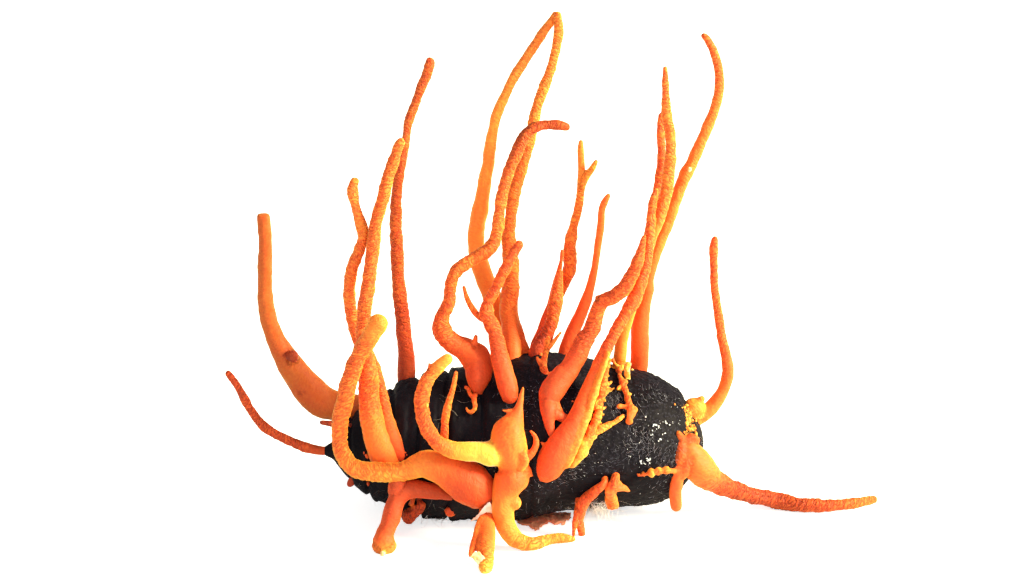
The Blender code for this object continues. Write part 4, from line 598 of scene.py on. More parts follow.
# %% Outgrowths
OUTGROWTHS = {
    "hub_front": [
        (0.4, [(0.9, -2.8, -6.6, 0.3), (1.55, -3.1, -6.4, 0.14)]),
        (0.5, [(0.5, -1.2, -8.0, 0.3), (0.75, -1.9, -7.9, 0.3), (0.3, -2.6, -7.7, 0.3)]),
    ],
    "stalk_diagonal": [
        (0.56, [
            (4.05, -2.3, -7.0, 0.24), (4.4, -1.6, -7.2, 0.31), (4.8, -0.5, -7.1, 0.34),
            (5.38, 0.95, -6.6, 0.33), (5.92, 2.4, -6, 0.31), (6.45, 4, -5.35, 0.28),
            (7.02, 5.6, -4.75, 0.24), (7.45, 6.9, -4.3, 0.16),
        ]),
        (0.45, [(2.3, -0.65, -6.4, 0.16), (1.9, -0.32, -6.5, 0.07)]),
        (0.3, [(2.2, -3.3, -6.4, 0.25), (1.75, -3.35, -6.4, 0.15)]),
    ],
    "stalk_elbow": [
        (0.3, [(2.75, 0.75, SKIN, 0.2), (2.25, 0.82, SKIN, 0.12)]),
        (0.3, [(2.9, 2.9, -5.0, 0.5), (3.3, 2.2, -5.4, 0.4), (3.7, 1.65, -5.7, 0.3)]),
    ],
    "fringe_diagonal": [
        (0.66, [
            (4.6, -2.15, SKIN, 0.3), (5.2, -1.3, SKIN, 0.5), (5.6, -0.4, SKIN, 0.5), (5.75, 0.3, SKIN, 0.3),
        ]),
        (0.62, [(7.0, 3.4, -4.3, 0.22), (7.4, 3.78, -4.2, 0.2), (7.78, 3.6, -4.1, 0.1)]),
        (0.6, [(6.9, 4.3, -4.0, 0.18), (7.35, 4.25, -3.9, 0.11), (7.75, 4.5, -3.8, 0.05)]),
        (0.58, [(6.7, 3.9, -4.4, 0.18), (7.3, 3.75, -4.3, 0.1), (7.95, 3.95, -4.2, 0.05)]),
        (0.58, [(6.35, 2.5, -5.2, 0.18), (6.9, 2.3, -5.1, 0.1), (7.3, 2.45, -5.0, 0.05)]),
        (0.6, [(7.1, 6.1, -3.9, 0.14), (7.5, 6.3, -3.8, 0.09), (7.75, 6.15, -3.7, 0.05)]),
        (0.6, [(6.95, 5.05, -3.8, 0.17), (7.6, 4.85, -3.7, 0.06)]),
        (0.6, [(6.2, 1.3, SKIN, 0.2), (6.9, 1.12, SKIN, 0.08)]),
        (0.6, [(6.4, 2.9, -5.0, 0.2), (7.0, 2.95, -4.9, 0.06)]),
        (0.64, [(6.1, 0.6, SKIN, 0.2), (6.6, 0.75, SKIN, 0.08)]),
        (0.62, [(7.2, 5.6, -4.0, 0.16), (7.6, 5.6, -3.9, 0.07)]),
        (0.6, [(6.55, 1.9, SKIN, 0.2), (7.15, 1.75, SKIN, 0.07)]),
        (0.66, [(5.6, -0.6, SKIN, 0.3), (6.0, -0.15, SKIN, 0.25), (6.5, 0.42, SKIN, 0.22)]),
    ],
    "strand_nubby": [
        (0.7, [(8.3, 4.0, SKIN, 0.13), (8.05, 3.75, SKIN, 0.1)]),
        (0.55, [(8.3, 5.25, SKIN, 0.16), (8.6, 5.7, SKIN, 0.22), (8.9, 5.8, SKIN, 0.2)]),
        (0.6, [(8.85, 3.2, SKIN, 0.16), (9.25, 3.5, SKIN, 0.1)]),
        (0.8, [(8.9, 5.6, -1.2, 0.2), (9.2, 6.0, -1.1, 0.14)]),
        (0.75, [(7.9, 5.75, SKIN, 0.16), (8.35, 5.45, SKIN, 0.16)]),
    ],
    "stalk_long_right": [
        (0.36, [(13.5, -0.35, -3.3, 0.36), (14.1, -0.05, -3.1, 0.3), (14.65, -0.4, -2.8, 0.24)]),
        (0.36, [(13.9, 0, -3.1, 0.22), (14.0, 0.38, -3.1, 0.1)]),
        (0.4, [(13.2, -0.5, -3.5, 0.42), (13.15, -1.4, -3.9, 0.5), (13.05, -2.3, -4.1, 0.5)]),
        (0.38, [(13.6, -1.6, -3.6, 0.7), (13.35, -2.6, -3.9, 0.55), (13.0, -3.4, -4.0, 0.42)]),
    ],
    "finger_right": [
        (0.6, [(11.4, -2.8, SKIN, 0.24), (11.65, -2.55, SKIN, 0.13)]),
        (0.6, [(10.8, -2.9, SKIN, 0.22), (10.95, -3.15, SKIN, 0.14)]),
        (0.5, [(12.0, -2.75, SKIN, 0.25), (12.3, -2.5, SKIN, 0.18)]),
    ],
    "stalk_whip": [
        (0.6, [(14.1, 1.7, 0.1, 0.85), (14.1, 2.25, 0.1, 0.85), (13.95, 2.65, 0.1, 0.55)]),
        (0.6, [(14.5, 2.6, 0.1, 0.3), (14.85, 3.1, 0.1, 0.08)]),
    ],
    "toe_stub": [
        (0.36, [(7.9, -3.7, SKIN, 0.3), (8.5, -3.6, SKIN, 0.1)]),
        (0.36, [(7.95, -3.95, SKIN, 0.36), (8.6, -4.05, SKIN, 0.24), (9.1, -4.35, SKIN, 0.1)]),
    ],
    "stalk_far_left": [
        (0.2, [(-17, 3.75, 2.2, 0.4), (-17.2, 3.5, 1.75, 0.22)]),
        (0.16, [(-17.95, 6.25, 2.0, 0.5), (-17.6, 6.85, 1.8, 0.32)]),
    ],
    "foot_left": [
        (0.5, [(-11.35, -8.5, -8.2, 0.2), (-11.1, -8.85, -8.5, 0.3), (-10.5, -9.1, -8.7, 0.34),
               (-9.9, -8.85, -8.5, 0.3), (-9.6, -8.35, -8.2, 0.16)]),
        (0.95, [(-10.8, -9.3, FLOOR, 0.2), (-10.4, -9.35, FLOOR, 0.2)]),
        (0.5, [(-10.1, -8.2, -8.0, 0.4), (-9.65, -8.15, -8.0, 0.15)]),
    ],
    "foot_centre": [
        (0.5, [(-2.6, -6.6, -7.9, 0.4), (-3.0, -7.3, -8.8, 0.34), (-3.2, -8.1, -9.8, 0.26)]),
    ],
    "hook_front": [
        (0.86, [(-7.0, 2.5, -8.0, 0.12), (-7.2, 2.6, -8.05, 0.1)]),
    ],
    "stalk_sickle": [
        (1.0, [(13.75, 21.4, -1.4, 0.2), (14.1, 21.4, -1.4, 0.17)]),
    ],
}
print("outgrowths:", sum(len(routes) for routes in OUTGROWTHS.values()))

# %% [markdown]
# ## From a drawn point to a real one
# A point drawn across and up lies somewhere on a line of sight. How far back it stands fixes it:
# a given depth, the floor, or the skin of the pupa.

# %% Placing points
LIFT = 0.12  # mm between the skin and the underside of a strand that creeps over it
LYING = 0.04  # mm that a stalk lying on the floor is pressed flat


def sight(across, up, toward):
    """The point in mm that appears at (across, up), some way in front of the pupa's axis."""
    nearer = 1 - toward / EYE
    across = AIM_ACROSS + (across - AIM_ACROSS) * nearer
    up = AIM_UP + (up - AIM_UP) * nearer
    return np.array([across, up * SIN - toward * COS, AXIS_HEIGHT + up * COS + toward * SIN])


def locate(across, up, back, radius):
    """Place and radius, in mm, of one route point."""
    if back == FLOOR:
        height = radius - LYING
        toward = (height - AXIS_HEIGHT - up * COS) / (SIN - (up - AIM_UP) * COS / EYE)
    elif back == SKIN:
        reach = np.arange(12.0, -4.0, -0.02)
        line = np.array([sight(across, up, toward) for toward in reach])
        inside = np.nonzero(over_skin(line) <= radius + LIFT)[0]
        toward = reach[inside[0]] if len(inside) else 0.0
    else:
        toward = (up * SIN - back) / (COS + (up - AIM_UP) * SIN / EYE)
    return np.append(sight(across, up, toward), radius)


print("the hub's spike ends at", locate(0.6, 4.1, -5.6, 0.11).round(2), "mm")

# %% [markdown]
# ## Sweeping a tube
# The route is smoothed and cut into short steps. A ring of corners stands square across each step,
# carried along without twisting, and the last rings close into a round tip. A root that meets the
# pupa is drawn on into it, so no gap shows. Every ring remembers its share of the way, its middle,
# its thickness and its directions, because the texture needs them later.

# %% Tubes
SIDES = 20
STEP = 0.12  # mm between rings
ROUNDNESS = 0.985  # the solids' corners lie on the drawn radius, so a round tube is a little thinner
CUTS = 16  # places worked out between two drawn points
# A root that is less than ROOT_REACH mm from the skin, and not deeper in it than BURIED times its own
# radius, is drawn on to ROOT_DEPTH mm under the skin
ROOT_REACH, BURIED, ROOT_DEPTH = 1.2, 0.8, 0.6
NARROWEST = 0.02  # share of the radius that is left at the very tip


def smooth_route(points):
    """Even steps of (x, y, z, radius) on a smooth curve through the points, and their lengths."""
    padded = [2 * points[0] - points[1], *points, 2 * points[-1] - points[-2]]
    steps = []
    for before, start, end, after in zip(padded, padded[1:], padded[2:], padded[3:]):
        for share in np.linspace(0, 1, CUTS, endpoint=False):
            steps.append(bend(start, (end - before) / 2, end, (after - start) / 2, share))
    steps.append(points[-1])
    steps = np.array(steps)
    lengths = np.concatenate([[0], np.cumsum(np.linalg.norm(np.diff(steps[:, :3], axis=0), axis=1))])
    stops = np.linspace(0, lengths[-1], max(8, int(lengths[-1] / STEP)))
    return np.stack([np.interp(stops, lengths, steps[:, axis]) for axis in range(4)], axis=1), stops


def rooted(points):
    """The route with a point more inside the pupa, where its root stands on the skin."""
    root = points[0]
    outside = over_skin(root[None, :3])[0]
    if not -BURIED * root[3] < outside < ROOT_REACH:
        return points
    inward = np.array([root[0], 0, pupa_rings([root[0]])[0][0]]) - root[:3]
    deeper = root[:3] + inward / np.linalg.norm(inward) * (outside + ROOT_DEPTH)
    return [np.append(deeper, root[3] * 0.9), *points]


def sweep(points, flat_end=False):
    """Corners and faces of one tube, and what is known about each of its rings."""
    steps, stops = smooth_route(rooted(points))
    radius = steps[:, 3]
    if not flat_end:
        tip = max(radius[-1], radius[-4] * 0.8)
        left = np.clip(1 - (stops[-1] - stops) / tip, 0, 1)
        radius = radius * np.sqrt(np.clip(1 - left**2, NARROWEST**2, 1))
    runs, sides, others = [], [], []
    side = Vector(steps[1, :3] - steps[0, :3]).orthogonal().normalized()
    for run in np.gradient(steps[:, :3], axis=0):
        run = Vector(run).normalized()
        side = (side - run * side.dot(run)).normalized()
        runs.append(run)
        sides.append(side)
        others.append(run.cross(side))
    rings = {
        "share": stops / stops[-1], "length": stops, "middle": steps[:, :3], "radius": radius,
        "run": np.array(runs), "side": np.array(sides), "other": np.array(others),
    }
    angles = np.linspace(0, 2 * math.pi, SIDES, endpoint=False)[None, :, None]
    offset = np.cos(angles) * rings["side"][:, None] + np.sin(angles) * rings["other"][:, None]
    corners = rings["middle"][:, None] + offset * radius[:, None, None] * ROUNDNESS
    return corners.reshape(-1, 3), tube_faces(len(steps), SIDES), rings


def tube_faces(rings, sides):
    """The faces of a tube of rings, closed at both ends."""
    faces = []
    for ring in range(rings - 1):
        for corner in range(sides):
            following = (corner + 1) % sides
            low, high = ring * sides, (ring + 1) * sides
            faces.append((low + corner, low + following, high + following, high + corner))
    faces.append(tuple(range(sides))[::-1])
    faces.append(tuple(range((rings - 1) * sides, rings * sides)))
    return faces


corners, faces, rings = sweep([locate(*point) for point in STALKS["hub_front"][0]])
print("the hub's main tube has", len(faces), "faces and", len(rings["share"]), "rings")

# %% [markdown]
# ## Melting tubes into one skin
# A branch that only pokes into its stem leaves a hard crease. A voxel remesh wraps all the tubes
# of a piece in one even skin, a few rounds of relaxing soften the joins, and each new corner
# looks up the nearest ring of the old tubes for what it should look like.

# %% Fusing and relaxing
def relax(corners, edges, rounds):
    """Corners moved half way to the middle of their neighbours, a few times over."""
    ends, others = edges.ravel(), edges[:, ::-1].ravel()
    count = np.bincount(ends, minlength=len(corners))[:, None]
    for _ in range(rounds):
        sums = [
            np.bincount(ends, weights=corners[others, axis], minlength=len(corners)) for axis in range(3)
        ]
        corners = corners + (np.stack(sums, axis=1) / count - corners) * 0.5
    return corners


def read_mesh(mesh):
    """Corners in mm, edges and outward directions of a mesh."""
    corners = np.empty(len(mesh.vertices) * 3)
    mesh.vertices.foreach_get("co", corners)
    edges = np.empty(len(mesh.edges) * 2, dtype=np.int64)
    mesh.edges.foreach_get("vertices", edges)
    normals = np.empty(len(mesh.vertices) * 3)
    mesh.vertex_normals.foreach_get("vector", normals)
    return corners.reshape(-1, 3) / MM, edges.reshape(-1, 2), normals.reshape(-1, 3)


def write_corners(mesh, corners):
    """Put corners in mm back into a mesh, none of them under the floor."""
    corners[:, 2] = np.maximum(corners[:, 2], 0)
    mesh.vertices.foreach_set("co", (corners * MM).ravel())
    mesh.update()


def write_field(mesh, name, values):
    """Keep a number, or three, for each corner on the mesh, for the material to read."""
    values = np.asarray(values, dtype=np.float32)
    kind, label = ("FLOAT", "value") if values.ndim == 1 else ("FLOAT_VECTOR", "vector")
    mesh.attributes.new(name, kind, "POINT").data.foreach_set(label, values.ravel())


def voxel_skin(piece, voxel):
    """Wrap a piece in one even skin of small faces, voxel mm across."""
    modifier = piece.modifiers.new("Skin", "REMESH")
    modifier.mode = "VOXEL"
    modifier.voxel_size = voxel * MM
    graph = bpy.context.evaluated_depsgraph_get()
    skin = bpy.data.meshes.new_from_object(piece.evaluated_get(graph))
    old = piece.data
    piece.modifiers.clear()
    piece.data = skin
    bpy.data.meshes.remove(old)
    skin.name = piece.name
    skin.shade_smooth()


def fuse_tubes(name, tubes, voxel, rounds):
    """One skin round some tubes, and its rings' data looked up for each corner."""
    corners, faces = [], []
    for some, some_faces, _ in tubes:
        start = sum(len(part) for part in corners)
        faces += [tuple(start + corner for corner in face) for face in some_faces]
        corners.append(some)
    corners = np.concatenate(corners)
    piece = new_piece(name, corners * MM, faces)
    voxel_skin(piece, voxel)
    tree = KDTree(len(corners))
    for index, corner in enumerate(corners):
        tree.insert(corner, index)
    tree.balance()
    skin, edges, _ = read_mesh(piece.data)
    nearest = np.array([tree.find(corner)[1] for corner in skin]) // SIDES
    write_corners(piece.data, relax(skin, edges, rounds))
    keys = tubes[0][2]
    return piece, {key: np.concatenate([rings[key] for _, _, rings in tubes])[nearest] for key in keys}


print("fusing helpers ready")

# %% [markdown]
# ## How each stalk's flesh looks
# The bases are smooth, taut and reddish. Higher up the skin breaks into grains and cross wrinkles,
# the young fruiting bodies, and the colour turns to a lighter orange. Stalks at the back left, and
# some stretches of others, are darkened to a brownish orange with painted shade. Each stalk has a
# short list of (share of the way, tone), with tones from 0, deep red brown, over 0.45, orange, and
# 0.75, yellow, to 1, nearly white. Its roughness grows between two shares of the way.

# %% Tones and roughness
PLAIN_TONE = [(0, 0.34), (0.15, 0.42), (0.6, 0.54), (1, 0.58)]
TONES = {
    "loop_left": [
        (0, 0.28), (0.12, 0.3), (0.24, 0.55), (0.4, 0.67), (0.6, 0.5), (0.86, 0.5), (0.93, 0.58), (1, 0.62),
    ],
    "hub_front": [(0, 0.38), (0.3, 0.49), (0.5, 0.47), (0.75, 0.34), (1, 0.5)],
    "stalk_diagonal": [(0, 0.31), (0.2, 0.32), (0.4, 0.4), (1, 0.5)],
    "stalk_long_right": [
        (0, 0.36), (0.07, 0.44), (0.15, 0.47), (0.24, 0.42), (0.34, 0.34), (0.55, 0.37), (0.75, 0.44),
        (0.9, 0.56), (1, 0.62),
    ],
    "hook_front": [
        (0, 0.42), (0.07, 0.62), (0.13, 0.82), (0.25, 0.82), (0.38, 0.58), (0.5, 0.42), (0.75, 0.46),
        (0.9, 0.62), (1, 0.7),
    ],
    "curl_front": [(0, 0.34), (0.12, 0.4), (0.3, 0.55), (0.5, 0.58), (0.7, 0.63), (0.85, 0.66), (1, 0.66)],
    "foot_left": [(0, 0.2), (0.6, 0.26), (0.86, 0.36), (0.93, 0.6), (1, 0.9)],
    "foot_centre": [(0, 0.36), (0.6, 0.42), (0.85, 0.6), (1, 0.95)],
    "stalk_left_front": [(0, 0.44), (0.15, 0.52), (0.3, 0.5), (0.5, 0.48), (1, 0.54)],
    "stalk_elbow": [(0, 0.18), (0.3, 0.2), (0.45, 0.34), (0.6, 0.41), (0.8, 0.44), (1, 0.46)],
    "stalk_swan_neck": [
        (0, 0.28), (0.15, 0.34), (0.25, 0.44), (0.5, 0.56), (0.8, 0.5), (0.9, 0.42), (1, 0.44),
    ],
    "stalk_centre_front": [(0, 0.26), (0.3, 0.3), (0.6, 0.44), (1, 0.42)],
    "stalk_centre_right": [(0, 0.44), (0.3, 0.56), (0.7, 0.64), (1, 0.6)],
    "stalk_centre_left": [(0, 0.44), (0.3, 0.6), (0.7, 0.66), (1, 0.6)],
    "stalk_left_tall": [(0, 0.1), (0.14, 0.3), (0.35, 0.46), (0.8, 0.5), (1, 0.44)],
    "stalk_far_left": [(0, 0.48), (0.42, 0.5), (0.6, 0.5), (1, 0.48)],
    "stalk_left_thin": [(0, 0.36), (0.4, 0.38), (1, 0.36)],
    "stub_left": [(0, 0.2), (1, 0.14)],
    "stub_top": [(0, 0.02), (0.3, 0.2), (0.5, 0.48), (1, 0.5)],
    "stalk_slender": [(0, 0.02), (0.3, 0.25), (1, 0.44)],
    "stalk_curved": [(0, 0.3), (0.5, 0.44), (1, 0.52)],
    "stalk_dagger": [(0, 0.44), (0.3, 0.58), (0.6, 0.56), (1, 0.54)],
    "stalk_forked": [(0, 0.38), (0.2, 0.5), (0.6, 0.6), (1, 0.62)],
    "stalk_sickle": [(0, 0.34), (0.2, 0.42), (0.5, 0.54), (0.8, 0.56), (1, 0.46)],
    "stalk_behind": [(0, 0.62), (0.25, 0.6), (0.5, 0.5), (1, 0.46)],
    "stalk_whip": [(0, 0.58), (0.15, 0.5), (0.4, 0.42), (1, 0.44)],
    "fringe_diagonal": [(0, 0.54), (0.3, 0.56), (1, 0.52)],
    "strand_low": [(0, 0.62), (1, 0.66)],
    "strand_nubby": [(0, 0.42), (0.8, 0.5), (1, 0.4)],
    "toe_right": [(0, 0.36), (1, 0.44)],
    "finger_right": [(0, 0.34), (1, 0.4)],
    "lump_left": [(0, 0.36), (1, 0.3)],
    "nub_left": [(0, 0.02), (1, 0.05)],
}
BRANCH_TONES = {("hub_front", 1): 0.36, ("hub_front", 2): 0.34, ("hook_front", 1): 0.3}
PLAIN_ROUGH = (0.1, 0.25)
ROUGH = {
    "loop_left": (0.2, 0.4), "hub_front": (1.5, 1.6), "stalk_diagonal": (0.35, 0.5),
    "stalk_long_right": (0.12, 0.3), "hook_front": (0.3, 0.48), "curl_front": (0.4, 0.7),
    "foot_left": (1.5, 1.6), "foot_centre": (0.5, 1.0), "stalk_elbow": (0.38, 0.5),
    "stalk_swan_neck": (0.14, 0.26), "stalk_centre_front": (0.15, 0.4), "stalk_far_left": (1.2, 2.0),
    "stalk_curved": (0.7, 1.6), "stalk_behind": (0.3, 0.8), "stalk_sickle": (0.1, 1.4),
    "stalk_centre_left": (0.3, 1.3), "stalk_slender": (0.5, 1.5),
    "finger_right": (0.8, 1.5), "stalk_whip": (0.2, 0.6), "nub_left": (1.5, 1.6),
}
# How much the flesh is darkened with painted shade, to a brownish orange: (share of the way, amount)
PAINTED_SHADE = {
    "stalk_far_left": [(0, 0.75), (0.4, 0.7), (0.6, 0.68), (1, 0.7)],
    "stalk_left_tall": [(0, 0.5), (0.3, 0.4), (1, 0.35)],
    "stalk_left_thin": [(0, 0.5), (1, 0.45)],
    "stub_left": [(0, 0.5), (1, 0.6)],
    "lump_left": [(0, 0.6), (1, 0.7)],
    "stalk_swan_neck": [(0, 0.25), (0.3, 0.25), (0.6, 0), (0.75, 0.2), (0.88, 0.75), (1, 0.8)],
    "foot_left": [(0, 0.45), (0.8, 0.3), (1, 0)],
    "loop_left": [(0, 0.4), (0.18, 0.3), (0.28, 0), (1, 0)],
    "stalk_long_right": [(0, 0), (0.2, 0.1), (0.28, 0.6), (0.4, 0.8), (0.7, 0.7), (1, 0.3)],
    "stalk_sickle": [(0, 0), (0.6, 0), (1, 0.25)],
}
# How high the lumps of some pieces are, in mm, and those of the pale outgrowths on two stalks
LUMPY = {"fringe_diagonal": 0.12, "strand_nubby": 0.09, "strand_low": 0.07, "lump_left": 0.12}
CRUSTY, CRUSTY_LUMPS = {"stalk_diagonal", "fringe_diagonal"}, 0.08
# From which share of the way on the tip is smooth
SMOOTH_TIP = {"loop_left": 0.88, "hook_front": 0.86, "stalk_swan_neck": 0.93, "stalk_forked": 0.75}
FLAT_END = {"stalk_far_left", "toe_stub"}  # stalks that are broken off square
# Pieces in front that get a finer skin
CLOSE_UP = {"hub_front", "loop_left", "stalk_diagonal", "stalk_elbow", "foot_left", "stalk_long_right"}
print("tones for", len(TONES), "stalks")

# %% [markdown]
# ## Raising the grain
# Every corner moves along its own outward direction. Slow noise makes the stalk a little uneven,
# creases wrinkle it across, and grains stand out between cracks. The patterns are laid out in the
# stalk's own straightened space, so that the wrinkles follow each bend. The height is also kept
# as a number per corner, so that the material can paint light on the tops and shade in the creases.

# %% Growing one piece
GRAIN_SIZE, GRAIN_HEIGHT = 0.26, 0.035  # mm
WRINKLE = np.array([0.29, 0.85, 0.85])  # mm along, and across both ways
WRINKLE_HEIGHT = 0.09  # mm
RING_WAVE = np.array([0.5, 1.7, 1.7])  # mm along, and across both ways
RING_HEIGHT = 0.05  # mm
SLANT = np.array([0.45, 0, 0])  # how far the fine creases lean
SWELLS = [(1.0, 0.065), (0.42, 0.03)]  # (mm across, mm high)
LUMP_SIZE = 0.45  # mm
SMOOTH_SHARE = 0.12  # how much of the grain is left where the flesh is smooth
RELIEF_A_RADIUS, RELIEF_RANGE = 1.5, (0.3, 1.0)  # the relief grows with the radius, within limits
CREASE_MEAN, PIMPLE_MEAN = 0.62, 0.4  # taken off, so that the relief doesn't thicken the stalk
CREASE_PART, PIMPLE_PART, WAVE_PART = 0.8, 0.5, 0.3  # of the height that the material reads
TONE_DRIFT, DRIFT_SIZE = 0.04, 1.8  # the second in mm
TIP_FADE, TIP_ROUGH = 0.06, 0.25  # how soon a smooth tip begins, and how much roughness it keeps
BRANCH_LIGHTER, BRANCH_ROUGH = 0.1, 0.3  # how much lighter a branch ends, and its least roughness
PALE = 0.5  # tone from which an outgrowth can be lumpy
SKIN_ROUNDS, LOOK_ROUNDS = 3, 6  # of relaxing, for the skin's shape and for its looks
SEEDS_APART = 11  # from one piece to the next
# Voxels in mm: as a share of the stalk's radius, at least, at most, and at most on pieces in front
VOXEL_SHARE, VOXEL_LEAST, VOXEL_MOST, VOXEL_CLOSE = 0.22, 0.07, 0.13, 0.1
# How many mm of radius the living skin adds to a stalk, less where it is thinner than PLUMP_FROM
PLAIN_PLUMP, PLUMP_FROM = 0.045, 0.25
PLUMP = {
    "stalk_left_front": 0.07, "stalk_left_back": 0.09, "stalk_far_left": 0.07, "stalk_left_tall": 0.07,
    "stalk_dagger": 0.09, "stalk_centre_right": 0.09, "stalk_whip": 0.075, "stalk_sickle": 0.06,
    "hub_front": 0.01, "loop_left": 0.02, "stalk_diagonal": 0.015, "stalk_elbow": 0.02,
    "fringe_diagonal": 0.0, "curl_front": 0.01, "hook_front": 0.01, "lump_left": 0.0,
}


def tubes_of(name):
    """Every tube of one stalk, with the tone and roughness of each ring."""
    drawn = [(None, route) for route in STALKS[name]] + OUTGROWTHS.get(name, [])
    more = PLUMP.get(name, PLAIN_PLUMP)
    tubes = []
    for own_tone, route in drawn:
        main = not tubes
        route = [(*place, thick + more * min(thick / PLUMP_FROM, 1)) for *place, thick in route]
        corners, faces, rings = sweep([locate(*point) for point in route], main and name in FLAT_END)
        if main:
            rings["tone"] = np.interp(rings["share"], *zip(*TONES.get(name, PLAIN_TONE)))
            smooth_from = SMOOTH_TIP.get(name, 1.0)
            rings["rough"] = ramp(*ROUGH.get(name, PLAIN_ROUGH), rings["share"])
            before_tip = ramp(smooth_from + TIP_FADE, smooth_from, rings["share"])
            rings["rough"] *= TIP_ROUGH + (1 - TIP_ROUGH) * before_tip
        else:
            stem = tubes[0][2]
            host = np.argmin(np.linalg.norm(stem["middle"] - rings["middle"][0], axis=1))
            if own_tone is None:
                own_tone = BRANCH_TONES.get((name, len(tubes)), stem["tone"][host])
            rings["tone"] = own_tone + BRANCH_LIGHTER * rings["share"]
            rings["rough"] = np.full(len(rings["share"]), max(stem["rough"][host], BRANCH_ROUGH))
        crusty = name in CRUSTY and not main and own_tone > PALE
        rings["lumpy"] = np.full(len(rings["share"]), max(LUMPY.get(name, 0.0), CRUSTY_LUMPS * crusty))
        # The brown field is painted shade: it only darkens the colour
        rings["brown"] = np.interp(rings["share"], *zip(*PAINTED_SHADE.get(name, [(0, 0), (1, 0)])))
        tubes.append((corners, faces, rings))
    return tubes


def grow(names, seed):
    """The fleshy piece that stands for one stalk, or for a few that have grown together."""
    tubes = [tube for name in names for tube in tubes_of(name)]
    thick = float(np.median(tubes[0][2]["radius"]))
    coarsest = VOXEL_CLOSE if names[0] in CLOSE_UP else VOXEL_MOST
    voxel = min(max(thick * VOXEL_SHARE, VOXEL_LEAST), coarsest)
    piece, rings = fuse_tubes("flesh_" + names[0], tubes, voxel, SKIN_ROUNDS)
    corners, edges, normals = read_mesh(piece.data)
    looks = np.stack([rings["tone"], rings["rough"], rings["brown"]], axis=1)
    looks = relax(looks, edges, LOOK_ROUNDS)
    offset = corners - rings["middle"]
    ahead = (offset * rings["run"]).sum(axis=1)
    straight = np.stack([
        rings["length"] + ahead,
        (offset * rings["side"]).sum(axis=1),
        (offset * rings["other"]).sum(axis=1),
    ], axis=1)
    size = np.clip(rings["radius"] * RELIEF_A_RADIUS, *RELIEF_RANGE)
    rough = looks[:, 1]
    crease = np.sqrt(np.abs(soft_noise(straight / WRINKLE, 1.0, seed))) - CREASE_MEAN
    near, crack = grains(straight, GRAIN_SIZE, seed + 4)
    pimple = ramp(0.75, 0.15, near) * ramp(0.0, 0.2, crack) - PIMPLE_MEAN
    lift = sum(height * size * soft_noise(corners, wide, seed + 1) for wide, height in SWELLS)
    grainy = SMOOTH_SHARE + (1 - SMOOTH_SHARE) * rough
    lift += (WRINKLE_HEIGHT * crease + GRAIN_HEIGHT * pimple) * size * grainy
    wave = soft_noise(straight / RING_WAVE, 1.0, seed + 7)
    lift += RING_HEIGHT * wave * size * rough
    lift += rings["lumpy"] * soft_noise(corners, LUMP_SIZE, seed + 6)
    write_corners(piece.data, corners + normals * lift[:, None])
    tone = looks[:, 0] + TONE_DRIFT * soft_noise(corners, DRIFT_SIZE, seed + 2)
    write_field(piece.data, "tone", np.clip(tone, 0, 1))
    # The relief that the material turns into painted light on the tops and painted shade in the creases
    height = CREASE_PART * crease + PIMPLE_PART * pimple + WAVE_PART * wave
    write_field(piece.data, "relief", height * rough)
    write_field(piece.data, "straight", straight + straight[:, [1, 2, 0]] * SLANT)
    write_field(piece.data, "rough", rough)
    # The brown field carries the painted shade to the material
    write_field(piece.data, "brown", looks[:, 2])
    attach(piece, "root")
    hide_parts(*names)
    return piece


# Stalks that have grown together
TOGETHER = [["hub_front", "curl_front", "hook_front"], ["stalk_long_right", "finger_right"]]
groups = TOGETHER + [[name] for name in STALKS if not any(name in group for group in TOGETHER)]
flesh = {}
for number, names in enumerate(groups):
    flesh[names[0]] = grow(names, number * SEEDS_APART)
print("flesh faces:", sum(len(piece.data.polygons) for piece in flesh.values()))

# %% [markdown]
# ## The look of the flesh
# Every finish here is made of nodes, and most of its nodes are small sums. A few short helpers add
# a node with its settings, do sums on two sockets, lay colours along a ramp, read a texture or a
# field, and add fine relief, so that each finish reads as a list of what it is made of.

# %% Node helpers
def add_node(tree, kind, **settings):
    """A node of one kind, with its settings. Settings that name an input set that input."""
    node = tree.nodes.new(kind)
    for key, value in settings.items():
        if hasattr(node, key):
            setattr(node, key, value)
        else:
            node.inputs[key.replace("_", " ")].default_value = value
    return node


def new_group(name, inputs, outputs):
    """An empty node group with numbers for inputs, and colours or numbers for outputs."""
    group = bpy.data.node_groups.new(name, "ShaderNodeTree")
    for label, value in inputs.items():
        socket = group.interface.new_socket(label, in_out="INPUT", socket_type="NodeSocketFloat")
        socket.default_value = value
    for label, kind in outputs.items():
        group.interface.new_socket(label, in_out="OUTPUT", socket_type=kind)
    return group, group.nodes.new("NodeGroupInput"), group.nodes.new("NodeGroupOutput")


def calculate(tree, operation, first, second):
    """A Math node on two sockets or numbers, and its result."""
    node = add_node(tree, "ShaderNodeMath", operation=operation)
    for socket, value in zip(node.inputs, (first, second)):
        if isinstance(value, (int, float)):
            socket.default_value = value
        else:
            tree.links.new(value, socket)
    return node.outputs[0]


def ramp_node(tree, fac, stops):
    """A colour ramp through (place, colour) stops, and its colour."""
    node = add_node(tree, "ShaderNodeValToRGB")
    band = node.color_ramp
    while len(band.elements) < len(stops):
        band.elements.new(0.5)
    for element, (place, colour) in zip(band.elements, stops):
        element.position = place
        element.color = (*colour, 1)
    tree.links.new(fac, node.inputs["Fac"])
    return node.outputs["Color"]


def sums_in(tree):
    """Functions that add, subtract and multiply two sockets or numbers in one node tree."""
    return [functools.partial(calculate, tree, sign) for sign in ("ADD", "SUBTRACT", "MULTIPLY")]


def field_in(tree, name, output="Fac"):
    """What each corner was given under a name."""
    return add_node(tree, "ShaderNodeAttribute", attribute_name=name).outputs[output]


def texture_at(tree, place, kind="Noise", output="Fac", **settings):
    """The number that a texture gives at a place."""
    node = add_node(tree, "ShaderNodeTex" + kind, **settings)
    tree.links.new(place, node.inputs["Vector"])
    return node.outputs[output]


